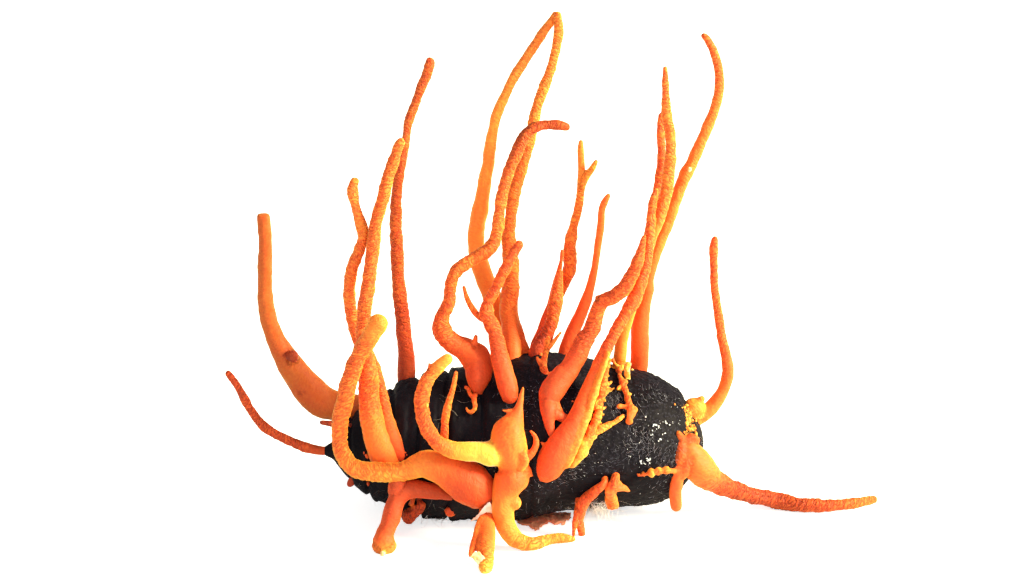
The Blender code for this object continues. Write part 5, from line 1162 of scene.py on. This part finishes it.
def add_bump(tree, shader, height, strength, distance):
    """Relief too fine for the mesh, which only the shader sees. The distance is in metres."""
    bump = add_node(tree, "ShaderNodeBump", Strength=strength, Distance=distance)
    tree.links.new(height, bump.inputs["Height"])
    tree.links.new(bump.outputs["Normal"], shader.inputs["Normal"])


print("node helpers ready")

# %% [markdown]
# ## The flesh's node group
# Fresh cordyceps goes from dark red at the root through orange to pale yellow, in patches that a
# painted picture could hold. A node group needs no picture: it reads the tone, relief and
# roughness that each corner was given, adds fine creases across the stalk and small pores, paints
# light on the raised grain and shade in the creases and pores, and gives back a colour, a
# roughness and a height. Any fleshy piece can use it.

# %% Flesh group
FLESH_TONES = [
    (0.0, (0.40, 0.045, 0.018)),
    (0.15, (0.52, 0.070, 0.022)),
    (0.3, (0.74, 0.085, 0.022)),
    (0.45, (0.88, 0.150, 0.027)),
    (0.6, (0.91, 0.250, 0.037)),
    (0.75, (0.93, 0.42, 0.055)),
    (0.88, (0.93, 0.66, 0.11)),
    (1.0, (0.93, 0.72, 0.42)),
]
PATCH_SCALE = 3600.0  # of the patches and the pores
CREASE_SQUEEZE = (3.6, 1.8, 1.8)  # creases a mm along the stalk, and across both ways
# Creases and pores darken the flesh as painted shade
CREASE_SHARPNESS, CREASE_SHADE_TONE, CREASE_SHADE = 9.0, 0.15, 0.09
PORE_REACH, PORE_SHARPNESS, PORE_SHADE = 0.26, 3.5, 0.35
# How much raised relief lightens the tone as painted light, how much random patches change it, and how much
# the brown field darkens the colour as painted shade
RELIEF_LIGHT_SHADE_TONE, PATCH_TONE, PAINTED_SHADE_DEPTH = 0.12, 0.06, 0.6
SHEEN, PATCH_SHEEN, PATCH_HEIGHT = 0.48, 0.12, 0.4

flesh_group, group_in, group_out = new_group(
    "grainy flesh", {"Painted sheen": 0.0},
    {"Color": "NodeSocketColor", "Roughness": "NodeSocketFloat", "Height": "NodeSocketFloat"},
)
plus, minus, times = sums_in(flesh_group)
tone_in, relief_in, rough_in, painted_shade_in = (
    field_in(flesh_group, name) for name in ("tone", "relief", "rough", "brown")
)
place_in = add_node(flesh_group, "ShaderNodeTexCoord").outputs["Object"]
mottle = texture_at(flesh_group, place_in, Scale=PATCH_SCALE, Detail=3.0)
graininess = plus(times(rough_in, 0.75), 0.25)

# Fine creases across the stalk, from noise squeezed along it
squeezed = add_node(flesh_group, "ShaderNodeVectorMath", operation="MULTIPLY")
flesh_group.links.new(field_in(flesh_group, "straight", "Vector"), squeezed.inputs[0])
squeezed.inputs[1].default_value = CREASE_SQUEEZE
folds = texture_at(flesh_group, squeezed.outputs[0], Scale=1.0, Detail=2.0)
from_crease = calculate(flesh_group, "ABSOLUTE", minus(folds, 0.5), 0.0)
ridge = calculate(flesh_group, "MINIMUM", times(from_crease, CREASE_SHARPNESS), 1.0)
creased = times(minus(1.0, ridge), graininess)

# Pores, small dots darkened with painted shade
cells = texture_at(flesh_group, place_in, "Voronoi", "Distance", feature="F1", Scale=PATCH_SCALE)
pore = calculate(flesh_group, "MAXIMUM", minus(PORE_REACH, cells), 0.0)
pore = times(times(pore, PORE_SHARPNESS), graininess)

# The tone, which the ramp turns into a colour. Raised relief lifts it as painted light, creases lower it as
# painted shade, and the painted sheen lifts it at the edges
shown_tone = plus(tone_in, times(relief_in, RELIEF_LIGHT_SHADE_TONE))
shown_tone = minus(shown_tone, times(creased, CREASE_SHADE_TONE))
shown_tone = plus(shown_tone, times(minus(mottle, 0.5), PATCH_TONE))
shown_tone = plus(shown_tone, group_in.outputs["Painted sheen"])

# The share of the colour that is kept where painted shade darkens it: on the stretches that the brown field
# marks, in creases and in pores
kept = minus(1.0, times(painted_shade_in, PAINTED_SHADE_DEPTH))
kept = minus(kept, times(creased, CREASE_SHADE))
kept = minus(kept, times(pore, PORE_SHADE))
darker = add_node(flesh_group, "ShaderNodeVectorMath", operation="SCALE")
flesh_group.links.new(ramp_node(flesh_group, shown_tone, FLESH_TONES), darker.inputs[0])
flesh_group.links.new(kept, darker.inputs["Scale"])

sheen = plus(SHEEN, times(mottle, PATCH_SHEEN))
fine_height = minus(minus(times(mottle, PATCH_HEIGHT), pore), creased)
for label, socket in (("Color", darker.outputs[0]), ("Roughness", sheen), ("Height", fine_height)):
    flesh_group.links.new(socket, group_out.inputs[label])
print("flesh group:", len(flesh_group.nodes), "nodes")

# %% [markdown]
# ## The flesh's material
# The flesh is moist and lets a little light in, so its shader scatters some light under the skin,
# red light the furthest. Its edges are painted lighter where the skin turns away from the eye, a
# painted sheen.
# Layer Weight tells that turn, and it stays in the material because the export can't read it
# inside a group.

# %% Flesh material
# A painted sheen: the flesh's edges are painted lighter where the skin turns away from the eye
PAINTED_SHEEN_POWER, PAINTED_SHEEN_TONE = 2.5, 0.32  # how near the edge the velvet shows, and how light it is
flesh_finish, tree, shader = new_material(
    "fresh_flesh", Specular_IOR_Level=0.22, Subsurface_Weight=0.12, Subsurface_Scale=0.0005,
    Subsurface_Radius=(1.0, 0.35, 0.1),
)
group = add_node(tree, "ShaderNodeGroup", node_tree=flesh_group)
facing = add_node(tree, "ShaderNodeLayerWeight", Blend=0.5).outputs["Facing"]
edge = calculate(tree, "POWER", facing, PAINTED_SHEEN_POWER)
tree.links.new(calculate(tree, "MULTIPLY", edge, PAINTED_SHEEN_TONE), group.inputs["Painted sheen"])
tree.links.new(group.outputs["Color"], shader.inputs["Base Color"])
tree.links.new(group.outputs["Roughness"], shader.inputs["Roughness"])
add_bump(tree, shader, group.outputs["Height"], strength=1.0, distance=0.00006)
for piece in flesh.values():
    piece.data.materials.append(flesh_finish)
print("flesh material:", flesh_finish.name)

# %% [markdown]
# ## The pupa
# The pupa's skin is dried black chitin. The left half shows the rings of the abdomen, each with
# a sharp fold behind it and fine wrinkles round it, and the right half is rough like leather, with
# a seam under the wing case and a rim where the head cap sits. It is turned from the outline on a
# fine grid, and the folds, wrinkles and grain move its corners in and out.

# %% Pupa body
AROUND, LENGTHWISE, HEAD_RINGS = 312, 280, 78
RIM = 13.35  # mm along the pupa, where the shell ends and the head cap begins
SEAM_UP = -2.9  # mm up in the view, the seam under the wing case
FOLD_DEEPER, FOLD_SWELL = 1.2, 0.7  # times the fold's depth
ALONG_RINGS = 0.2  # how wide a wrinkle is for its length
# Sizes of the relief, in mm
FOLD_WIDTH = 0.15
LEATHER_SIZE, LEATHER_HEIGHT = 0.34, 0.06
SEAM_DEPTH, SEAM_WIDTH, BELLY_STEP = 0.12, 0.14, 0.08
RIM_HEIGHT, RIM_WIDTH, CAP_STEP = 0.10, 0.25, 0.22

places = np.concatenate([
    np.linspace(TAIL_END, HEAD_START, LENGTHWISE - HEAD_RINGS, endpoint=False),
    HEAD_START + (HEAD_END - HEAD_START) * np.sin(np.linspace(0, math.pi / 2 - 0.03, HEAD_RINGS)),
])
middle, radius = pupa_rings(places)
xs = np.repeat(places, AROUND)
angle_of = np.tile(np.linspace(0, 2 * math.pi, AROUND, endpoint=False), len(places))
outward = np.stack([np.zeros_like(xs), np.cos(angle_of), np.sin(angle_of)], axis=1)
skin = np.stack([xs, np.zeros_like(xs), np.repeat(middle, AROUND)], axis=1)
skin += outward * np.repeat(radius, AROUND)[:, None]
ups = skin[:, 1] * SIN + (skin[:, 2] - AXIS_HEIGHT) * COS  # how far up each corner appears

# The rings of the abdomen: a sharp fold, and a plate that swells from it toward the head
abdomen = ramp(3.0, -3.0, xs + 1.2 * soft_noise(skin, 3.0, 2))
bent = xs + layers(skin, (0.25, 3.0, 3), (0.08, 0.8, 4))
relief = np.zeros(len(xs))
for fold, depth in FOLDS:
    away = bent - fold
    relief -= depth * FOLD_DEEPER * hump(away, FOLD_WIDTH)
    relief += depth * FOLD_SWELL * ramp(0.0, 0.25, away) * ramp(1.7, 0.3, away)

# Wrinkles round the abdomen, dents everywhere, and a leathery grain on the other half
ringwise = skin * (1, ALONG_RINGS, ALONG_RINGS)
relief += abdomen * layers(ringwise, (0.08, 0.34, 8), (0.04, 0.15, 9))
relief += layers(skin, (0.10, 2.2, 10), (0.05, 0.8, 11), (0.035, 0.3, 12))
near, _ = grains(skin, LEATHER_SIZE, 13)
relief += (1 - abdomen) * LEATHER_HEIGHT * (ramp(0.8, 0.2, near) - 0.4)

# The seam under the wing case, and the skin a little lower below it
front = ramp(1.0, -1.0, skin[:, 1])
seam = ups - SEAM_UP - layers(skin, (0.4, 2.5, 14), (0.1, 0.6, 16))
wing = ramp(2.0, 5.0, xs) * front
relief -= wing * (SEAM_DEPTH * hump(seam, SEAM_WIDTH) + BELLY_STEP * ramp(0.2, -0.4, seam))

# The raised rim, and the step down to the head cap
past_rim = xs - RIM - 0.2 * soft_noise(skin, 1.5, 15)
relief += RIM_HEIGHT * hump(past_rim + RIM_WIDTH, RIM_WIDTH) - CAP_STEP * ramp(-0.05, 0.1, past_rim)
relief *= ramp(TAIL_END, -13.0, xs) * 0.75 + 0.25  # less at the thin tail
skin = skin + outward * relief[:, None]

pupa = new_piece("pupa_body", skin * MM, tube_faces(len(places), AROUND))
write_corners(pupa.data, skin)
pupa.data.shade_smooth()
furry = (1 - abdomen) * ramp(0.0, 0.5, seam + 2 * (1 - wing)) * ramp(0.2, -0.2, past_rim)
write_field(pupa.data, "furry", furry)
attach(pupa, "root")
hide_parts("pupa")
print("pupa faces:", len(pupa.data.polygons))

# %% [markdown]
# ## The pupa's finish
# Dried chitin is nearly black, with a dull sheen. Pale specks of dust and broken hair roots gather
# on the furry half. One way is a second, dusty material, but it would show a border, so one
# material mixes the dust in where a fine noise is high and the corner's own furry field allows it.

# %% Pupa material
BLACK = (0, 0, 0)
COLOUR_A, COLOUR_B, COLOUR_OUT = 6, 7, 2  # where a Mix node keeps its sockets for colours
pupa_finish, tree, shader = new_material("pupa_chitin", Specular_IOR_Level=0.08)
plus, _, times = sums_in(tree)
place_in = add_node(tree, "ShaderNodeTexCoord").outputs["Object"]
broad = texture_at(tree, place_in, Scale=420.0, Detail=4.0)
fine = texture_at(tree, place_in, Scale=5200.0, Detail=4.0)
speck = ramp_node(tree, fine, [(0.0, BLACK), (0.54, BLACK), (0.68, (1, 1, 1))])
dusty = plus(times(field_in(tree, "furry"), 0.8), 0.12)
chitin = ramp_node(tree, broad, [(0.3, (0.0026, 0.0024, 0.0046)), (0.7, (0.0068, 0.0060, 0.0105))])
mix = add_node(tree, "ShaderNodeMix", data_type="RGBA")
tree.links.new(times(dusty, speck), mix.inputs["Factor"])
tree.links.new(chitin, mix.inputs[COLOUR_A])
mix.inputs[COLOUR_B].default_value = (0.026, 0.026, 0.040, 1)
tree.links.new(mix.outputs[COLOUR_OUT], shader.inputs["Base Color"])
tree.links.new(plus(0.42, times(fine, 0.4)), shader.inputs["Roughness"])
add_bump(tree, shader, fine, strength=0.9, distance=0.00006)
pupa.data.materials.append(pupa_finish)
print("pupa material:", pupa_finish.name)

# %% [markdown]
# ## Torn film, flake and membrane
# Under the belly lies a torn brown film, a pale scrap hangs at the foot in the middle, and that
# foot ends in a pale torn membrane. The film's and the scrap's solids are thin plates, and the
# membrane is drawn here. Each is wrapped in a fine skin, crumpled with noise, and frayed.

# %% Film and flake
# The broad and the fine waves of a frayed piece: (share of the fraying, mm across, seed)
FRAYING = [(0.7, 0.5, 0), (0.5, 0.18, 7)]


def crumple(piece, voxel, frayed, seed):
    """Wrap a thin plate in a fine skin, and make it wavy and ragged."""
    voxel_skin(piece, voxel)
    corners, edges, _ = read_mesh(piece.data)
    corners = relax(corners, edges, 2)
    drift = np.stack([
        layers(corners, *((share, size, seed + own + axis) for share, size, own in FRAYING))
        for axis in range(3)
    ], axis=1)
    write_corners(piece.data, corners + drift * frayed)
    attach(piece, "root")


def torn(name, voxel, frayed, seed):
    """A ragged piece made from a thin plate's solid, which it then stands for."""
    piece = bpy.data.objects.new("torn_" + name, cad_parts[name].data.copy())
    piece.data.materials.clear()
    bpy.context.scene.collection.objects.link(piece)
    crumple(piece, voxel, frayed, seed)
    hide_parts(name)
    return piece


film = torn("film_under", 0.06, 0.22, 21)
flake = torn("flake", 0.045, 0.10, 41)

MEMBRANE = [(-3.7, -9.5), (-3.25, -9.15), (-2.8, -9.35), (-2.25, -10.0), (-1.95, -10.5), (-2.5, -10.75),
            (-3.0, -10.4), (-3.35, -9.85)]
MEMBRANE_BACK, MEMBRANE_THICK = -12.3, 0.12  # mm
rim = [locate(across, up, MEMBRANE_BACK, 0)[:3] for across, up in MEMBRANE]
back_rim = [corner + np.array([0, MEMBRANE_THICK, 0]) for corner in rim]
count = len(rim)
sides = [(place, place + count, (place + 1) % count + count, (place + 1) % count) for place in range(count)]
faces = [tuple(range(count)), tuple(range(count, 2 * count))[::-1], *sides]
membrane = new_piece("foot_membrane", np.array(rim + back_rim) * MM, faces)
crumple(membrane, 0.045, 0.14, 61)
print("film, flake and membrane faces:", [len(piece.data.polygons) for piece in (film, flake, membrane)])

# %% [markdown]
# ## Finishes for scraps and hairs
# The film is brown and blotchy, and its colours are lighter than its own as painted light, since it
# lies in the shade under the belly. The scrap is white with an orange stain, and the membrane is
# pale yellow. Hairs and crystals vary from one to the next as well. All of them are a soft noise
# that wanders between two colours, so the noise is one node group, and a short function places it
# in each finish with its own scale and colours.

# %% Scrap materials
blotch_group, group_in, group_out = new_group(
    "wandering blotches", {"Scale": 900.0}, {"Blotch": "NodeSocketFloat"},
)
place_in = add_node(blotch_group, "ShaderNodeTexCoord").outputs["Object"]
wander = texture_at(blotch_group, place_in, Detail=4.0)
blotch_group.links.new(group_in.outputs["Scale"], wander.node.inputs["Scale"])
blotch_group.links.new(wander, group_out.inputs["Blotch"])


def blotchy(name, dark, light, scale, rough):
    """A plain finish that wanders between two colours, more finely where scale is higher."""
    material, tree, shader = new_material(name, Roughness=rough, Specular_IOR_Level=0.3)
    group = add_node(tree, "ShaderNodeGroup", node_tree=blotch_group)
    group.inputs["Scale"].default_value = scale
    blotch = group.outputs["Blotch"]
    tree.links.new(ramp_node(tree, blotch, [(0.35, dark), (0.65, light)]), shader.inputs["Base Color"])
    add_bump(tree, shader, blotch, strength=0.6, distance=0.00004)
    return material


# piece, name, dark colour, light colour, scale, roughness
for piece, *look in [
    # The film's colours are painted light: lighter than its own brown, for the shade under the belly
    (film, "film_brown", (0.86, 0.22, 0.12), (0.96, 0.44, 0.26), 1500.0, 0.55),
    (flake, "scrap_white", (0.92, 0.52, 0.30), (0.93, 0.88, 0.84), 900.0, 0.6),
    (membrane, "membrane_pale", (0.92, 0.45, 0.16), (0.93, 0.82, 0.55), 1300.0, 0.5),
]:
    piece.data.materials.append(blotchy(*look))
print("blotchy finishes:", [piece.data.materials[0].name for piece in (film, flake, membrane)])

# %% [markdown]
# ## Hairs and crumbs
# The right half of the pupa wears a coat of short grey hairs, the left half has a few long pale
# threads, and white silk sticks to the belly. White crystals and crumbs of orange mycelium lie on
# the skin. Hairs are thin tapered tubes, and crumbs are dented little balls, and each kind is one
# joined mesh. Seeded random numbers put them in the same places on every run.

# %% Hairs
HAIR_SIDES, HAIR_STEPS = 3, 4
SILK_AT, SILK_WIDTH = 6.6, 0.8  # mm along the pupa, where most of the silk sticks
BAND = [(13.5, 2.35), (13.85, 1.6), (14.0, 0.9), (13.8, 0.2)]  # mm across and up, crumbly mycelium
COAT_HAIRS, THREADS, SILK_HAIRS, FUZZ_HAIRS = 2600, 240, 420, 190
chance = np.random.default_rng(12)


def grow_hairs(name, roots, headings, lengths, thick, curl):
    """One mesh of curved, tapered hairs from roots, along headings, all in mm."""
    count = len(roots)
    headings = headings / np.linalg.norm(headings, axis=1)[:, None]
    across = np.cross(headings, chance.normal(size=(count, 3)))
    across /= np.linalg.norm(across, axis=1)[:, None]
    other = np.cross(headings, across)
    bend = chance.normal(size=(count, 2)) * curl
    corners = []
    for step in range(HAIR_STEPS + 1):
        share = step / HAIR_STEPS
        reach = share * lengths
        swing = share**2 * lengths
        spine = roots + headings * reach[:, None] + across * (bend[:, 0] * swing)[:, None]
        spine = spine + other * (bend[:, 1] * swing * (1 - 1.4 * share))[:, None]
        width = thick * (1 - 0.8 * share)
        for turn in np.arange(HAIR_SIDES) * 2 * math.pi / HAIR_SIDES:
            corners.append(spine + (across * math.cos(turn) + other * math.sin(turn)) * width)
    corners = np.stack(corners, axis=1).reshape(-1, 3)
    corners[:, 2] = np.maximum(corners[:, 2], thick)
    pattern = np.array([face for face in tube_faces(HAIR_STEPS + 1, HAIR_SIDES) if len(face) == 4])
    per_hair = (HAIR_STEPS + 1) * HAIR_SIDES
    faces = (pattern[None] + np.arange(count)[:, None, None] * per_hair).reshape(-1, 4)
    ends = np.array([[2, 1, 0], [per_hair - 3, per_hair - 2, per_hair - 1]])
    ends = (ends[None] + np.arange(count)[:, None, None] * per_hair).reshape(-1, 3)
    piece = new_piece(name, corners * MM, [tuple(face) for face in (*faces.tolist(), *ends.tolist())])
    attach(piece, "root")
    return piece


def pick_on_skin(count, wanted):
    """Points on the pupa's skin and their outward directions, most of them where it is wanted."""
    odds = np.clip(wanted, 0, None) * np.repeat(radius, AROUND)
    chosen = chance.choice(len(skin), size=count, p=odds / odds.sum())
    return skin[chosen], outward[chosen]


fuzzy = np.maximum(furry, 0.3 * (1 - abdomen)) * ramp(4.6, 3.6, ups)
coat_roots, coat_out = pick_on_skin(COAT_HAIRS, fuzzy * (0.15 + ramp(-0.2, 0.5, soft_noise(skin, 2.0, 70))))
flow = np.stack([soft_noise(coat_roots, 3.0, 71 + axis) for axis in range(3)], axis=1)
coat = grow_hairs(
    "grey_coat", coat_roots, flow * 1.8 + coat_out * 0.3 + chance.normal(size=flow.shape) * 0.3,
    chance.uniform(0.15, 0.65, len(coat_roots)), thick=0.0095, curl=0.25,
)
thread_roots, thread_out = pick_on_skin(THREADS, abdomen * ramp(0.1, 0.6, soft_noise(skin, 1.6, 75)))
threads = grow_hairs(
    "pale_threads", thread_roots, chance.normal(size=thread_roots.shape) + thread_out * 0.3,
    chance.uniform(0.4, 1.6, len(thread_roots)), thick=0.011, curl=0.9,
)
belly = ramp(1.2, 0.2, skin[:, 2])
silk_spot = hump(xs - SILK_AT, SILK_WIDTH) * ramp(3.2, 1.4, skin[:, 2])
silk_spot += 0.12 * belly * ramp(-4, -6, xs)
silk_roots, silk_out = pick_on_skin(SILK_HAIRS, silk_spot * front)
silk = grow_hairs(
    "white_silk", silk_roots, chance.normal(size=silk_roots.shape) + silk_out * 0.9,
    chance.uniform(0.5, 1.5, len(silk_roots)), thick=0.019, curl=1.2,
)
band_shares = chance.uniform(0, len(BAND) - 1, FUZZ_HAIRS)
band_spots = np.stack([np.interp(band_shares, range(len(BAND)), places) for places in zip(*BAND)], axis=1)
band_spots += chance.normal(size=band_spots.shape) * (0.2, 0.12)
band_roots = np.array([locate(across, up, SKIN, -LIFT)[:3] for across, up in band_spots])
fuzz = grow_hairs(
    "yellow_fuzz", band_roots, chance.normal(size=band_roots.shape) + np.array([-0.6, -0.8, 0.5]),
    chance.uniform(0.2, 0.6, len(band_roots)), thick=0.012, curl=0.8,
)
print("hairs:", [len(piece.data.polygons) for piece in (coat, threads, silk, fuzz)])

# %% [markdown]
# ## Crystals and crumbs
# White crystals sit in heaps on the right half, with loose ones between the hairs, and crumbs of
# orange mycelium lie where strands creep over the skin. Instances of one ball would be lighter,
# but they would all have the same shape. Each is its own dented, stretched ball in one joined mesh.

# %% Crumbs
def dented_balls(name, spots, radii, dent):
    """One mesh of small dented balls."""
    bpy.ops.mesh.primitive_ico_sphere_add(subdivisions=2, radius=1.0)
    seedling = bpy.context.object
    ball = np.array([corner.co[:] for corner in seedling.data.vertices])
    ball_faces = np.array([face.vertices[:] for face in seedling.data.polygons])
    bpy.data.objects.remove(seedling)
    wobble = 1 + dent * chance.normal(size=(len(spots), len(ball)))
    stretch = chance.uniform(0.6, 1.3, (len(spots), 1, 3))
    corners = spots[:, None] + ball[None] * wobble[:, :, None] * stretch * radii[:, None, None]
    faces = (ball_faces[None] + np.arange(len(spots))[:, None, None] * len(ball)).reshape(-1, 3)
    piece = new_piece(name, np.zeros((len(spots) * len(ball), 3)), faces.tolist())
    write_corners(piece.data, corners.reshape(-1, 3))
    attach(piece, "root")
    return piece


# Where white crystals sit in heaps on the right half: (mm across, mm up, how many)
CRYSTAL_HEAPS = [
    (11.35, 0.8, 10), (11.15, 0.95, 5), (10.85, 0.35, 4), (11.5, -0.2, 8), (12.15, 1.05, 5),
    (11.9, 0.35, 3), (10.6, -1.9, 10), (10.15, -2.0, 6), (9.3, -1.6, 2), (11.1, -2.6, 2), (10.4, 1.6, 2),
]
heap_spots = np.array([
    locate(across + chance.normal() * 0.13, up + chance.normal() * 0.11, SKIN, 0.0)[:3]
    for across, up, many in CRYSTAL_HEAPS for _ in range(many)
])
LOOSE = 300
PERCH = 0.03  # mm that a loose crystal's middle is over the skin
loose_spots, loose_out = pick_on_skin(LOOSE, fuzzy)
crystal_spots = np.concatenate([heap_spots, loose_spots + loose_out * PERCH])
heap_radii = chance.uniform(0.018, 0.062, len(heap_spots))
crystal_radii = np.concatenate([heap_radii, chance.uniform(0.010, 0.027, LOOSE)])
crystals = dented_balls("white_crystals", crystal_spots, crystal_radii, dent=0.35)

# Crumbs of mycelium: (mm across, mm up, radius in mm, tone)
CRUMBS = [(-12.06, -1.29, 0.16, 0.35), (-11.9, -1.55, 0.13, 0.4), (-8.84, -1.19, 0.14, 0.45),
          (-8.7, -1.4, 0.1, 0.4), (-11.8, -3.7, 0.14, 0.25), (-5.3, -5.9, 0.3, 0.3),
          (-5.1, -6.05, 0.24, 0.4), (4.5, 2.8, 0.14, 0.5),
          (4.7, 2.4, 0.12, 0.45), (9.84, -3.0, 0.1, 0.5), (10.2, -2.95, 0.13, 0.55), (10.5, -2.9, 0.1, 0.6),
          (12.7, 2.6, 0.08, 0.7), (13.2, 2.3, 0.1, 0.7), (6.9, 5.6, 0.15, 0.8), (7.3, 5.9, 0.14, 0.75),
          (8.0, 5.6, 0.13, 0.8), (8.6, 5.5, 0.12, 0.8), (9.3, 5.35, 0.12, 0.85), (9.0, 5.55, 0.14, 0.7),
          (2.0, 6.5, 0.16, 0.5), (5.0, 0.2, 0.12, 0.7), (6.3, 3.6, 0.12, 0.6), (-7.5, 3.4, 0.1, 0.3)]
BAND_CRUMBS = 80
CRUMB_GROWTH = 1.2  # times the drawn radius, because half of each crumb is under the skin
for spot in band_spots[:BAND_CRUMBS]:
    CRUMBS.append((*spot, chance.uniform(0.04, 0.11), chance.uniform(0.55, 0.78)))
crumb_spots = np.array([locate(across, up, SKIN, -LIFT)[:3] for across, up, _, _ in CRUMBS])
crumb_radii = np.array([row[2] for row in CRUMBS]) * CRUMB_GROWTH
crumbs = dented_balls("orange_crumbs", crumb_spots, crumb_radii, dent=0.16)
per_ball = len(crumbs.data.vertices) // len(CRUMBS)
crumb_tones = [row[3] for row in CRUMBS]
write_field(crumbs.data, "tone", np.repeat(crumb_tones, per_ball))
crumbs.data.shade_smooth()
print("crystals and crumbs:", len(crystals.data.polygons), len(crumbs.data.polygons))

# %% [markdown]
# ## Finishing hairs and crumbs
# The hairs are too thin for a texture of their own, so their colour wanders over the whole coat,
# and some tufts look darker than others. The crumbs are fungus, so they take the flesh's material
# and bring their own tone.

# %% Hair and crumb finishes
# piece, record's slot, name, dark colour, light colour, scale, roughness
for piece, slot, *look in [
    (coat, "pupa_skin", "grey_hair", (0.13, 0.14, 0.17), (0.40, 0.41, 0.50), 700.0, 0.6),
    (threads, "pupa_skin", "pale_thread", (0.10, 0.09, 0.08), (0.34, 0.31, 0.28), 500.0, 0.6),
    (silk, "pale_scrap", "white_silk", (0.78, 0.76, 0.74), (0.95, 0.96, 0.99), 900.0, 0.5),
    (crystals, "pale_scrap", "white_crystal", (0.62, 0.72, 0.84), (0.92, 0.97, 1.0), 2500.0, 0.35),
    (fuzz, "orange_flesh", "yellow_fuzz", (0.72, 0.38, 0.08), (0.80, 0.62, 0.20), 900.0, 0.6),
]:
    piece.data.materials.append(blotchy(*look))
crumbs.data.materials.append(flesh_finish)
print("hairs and crumbs finished")
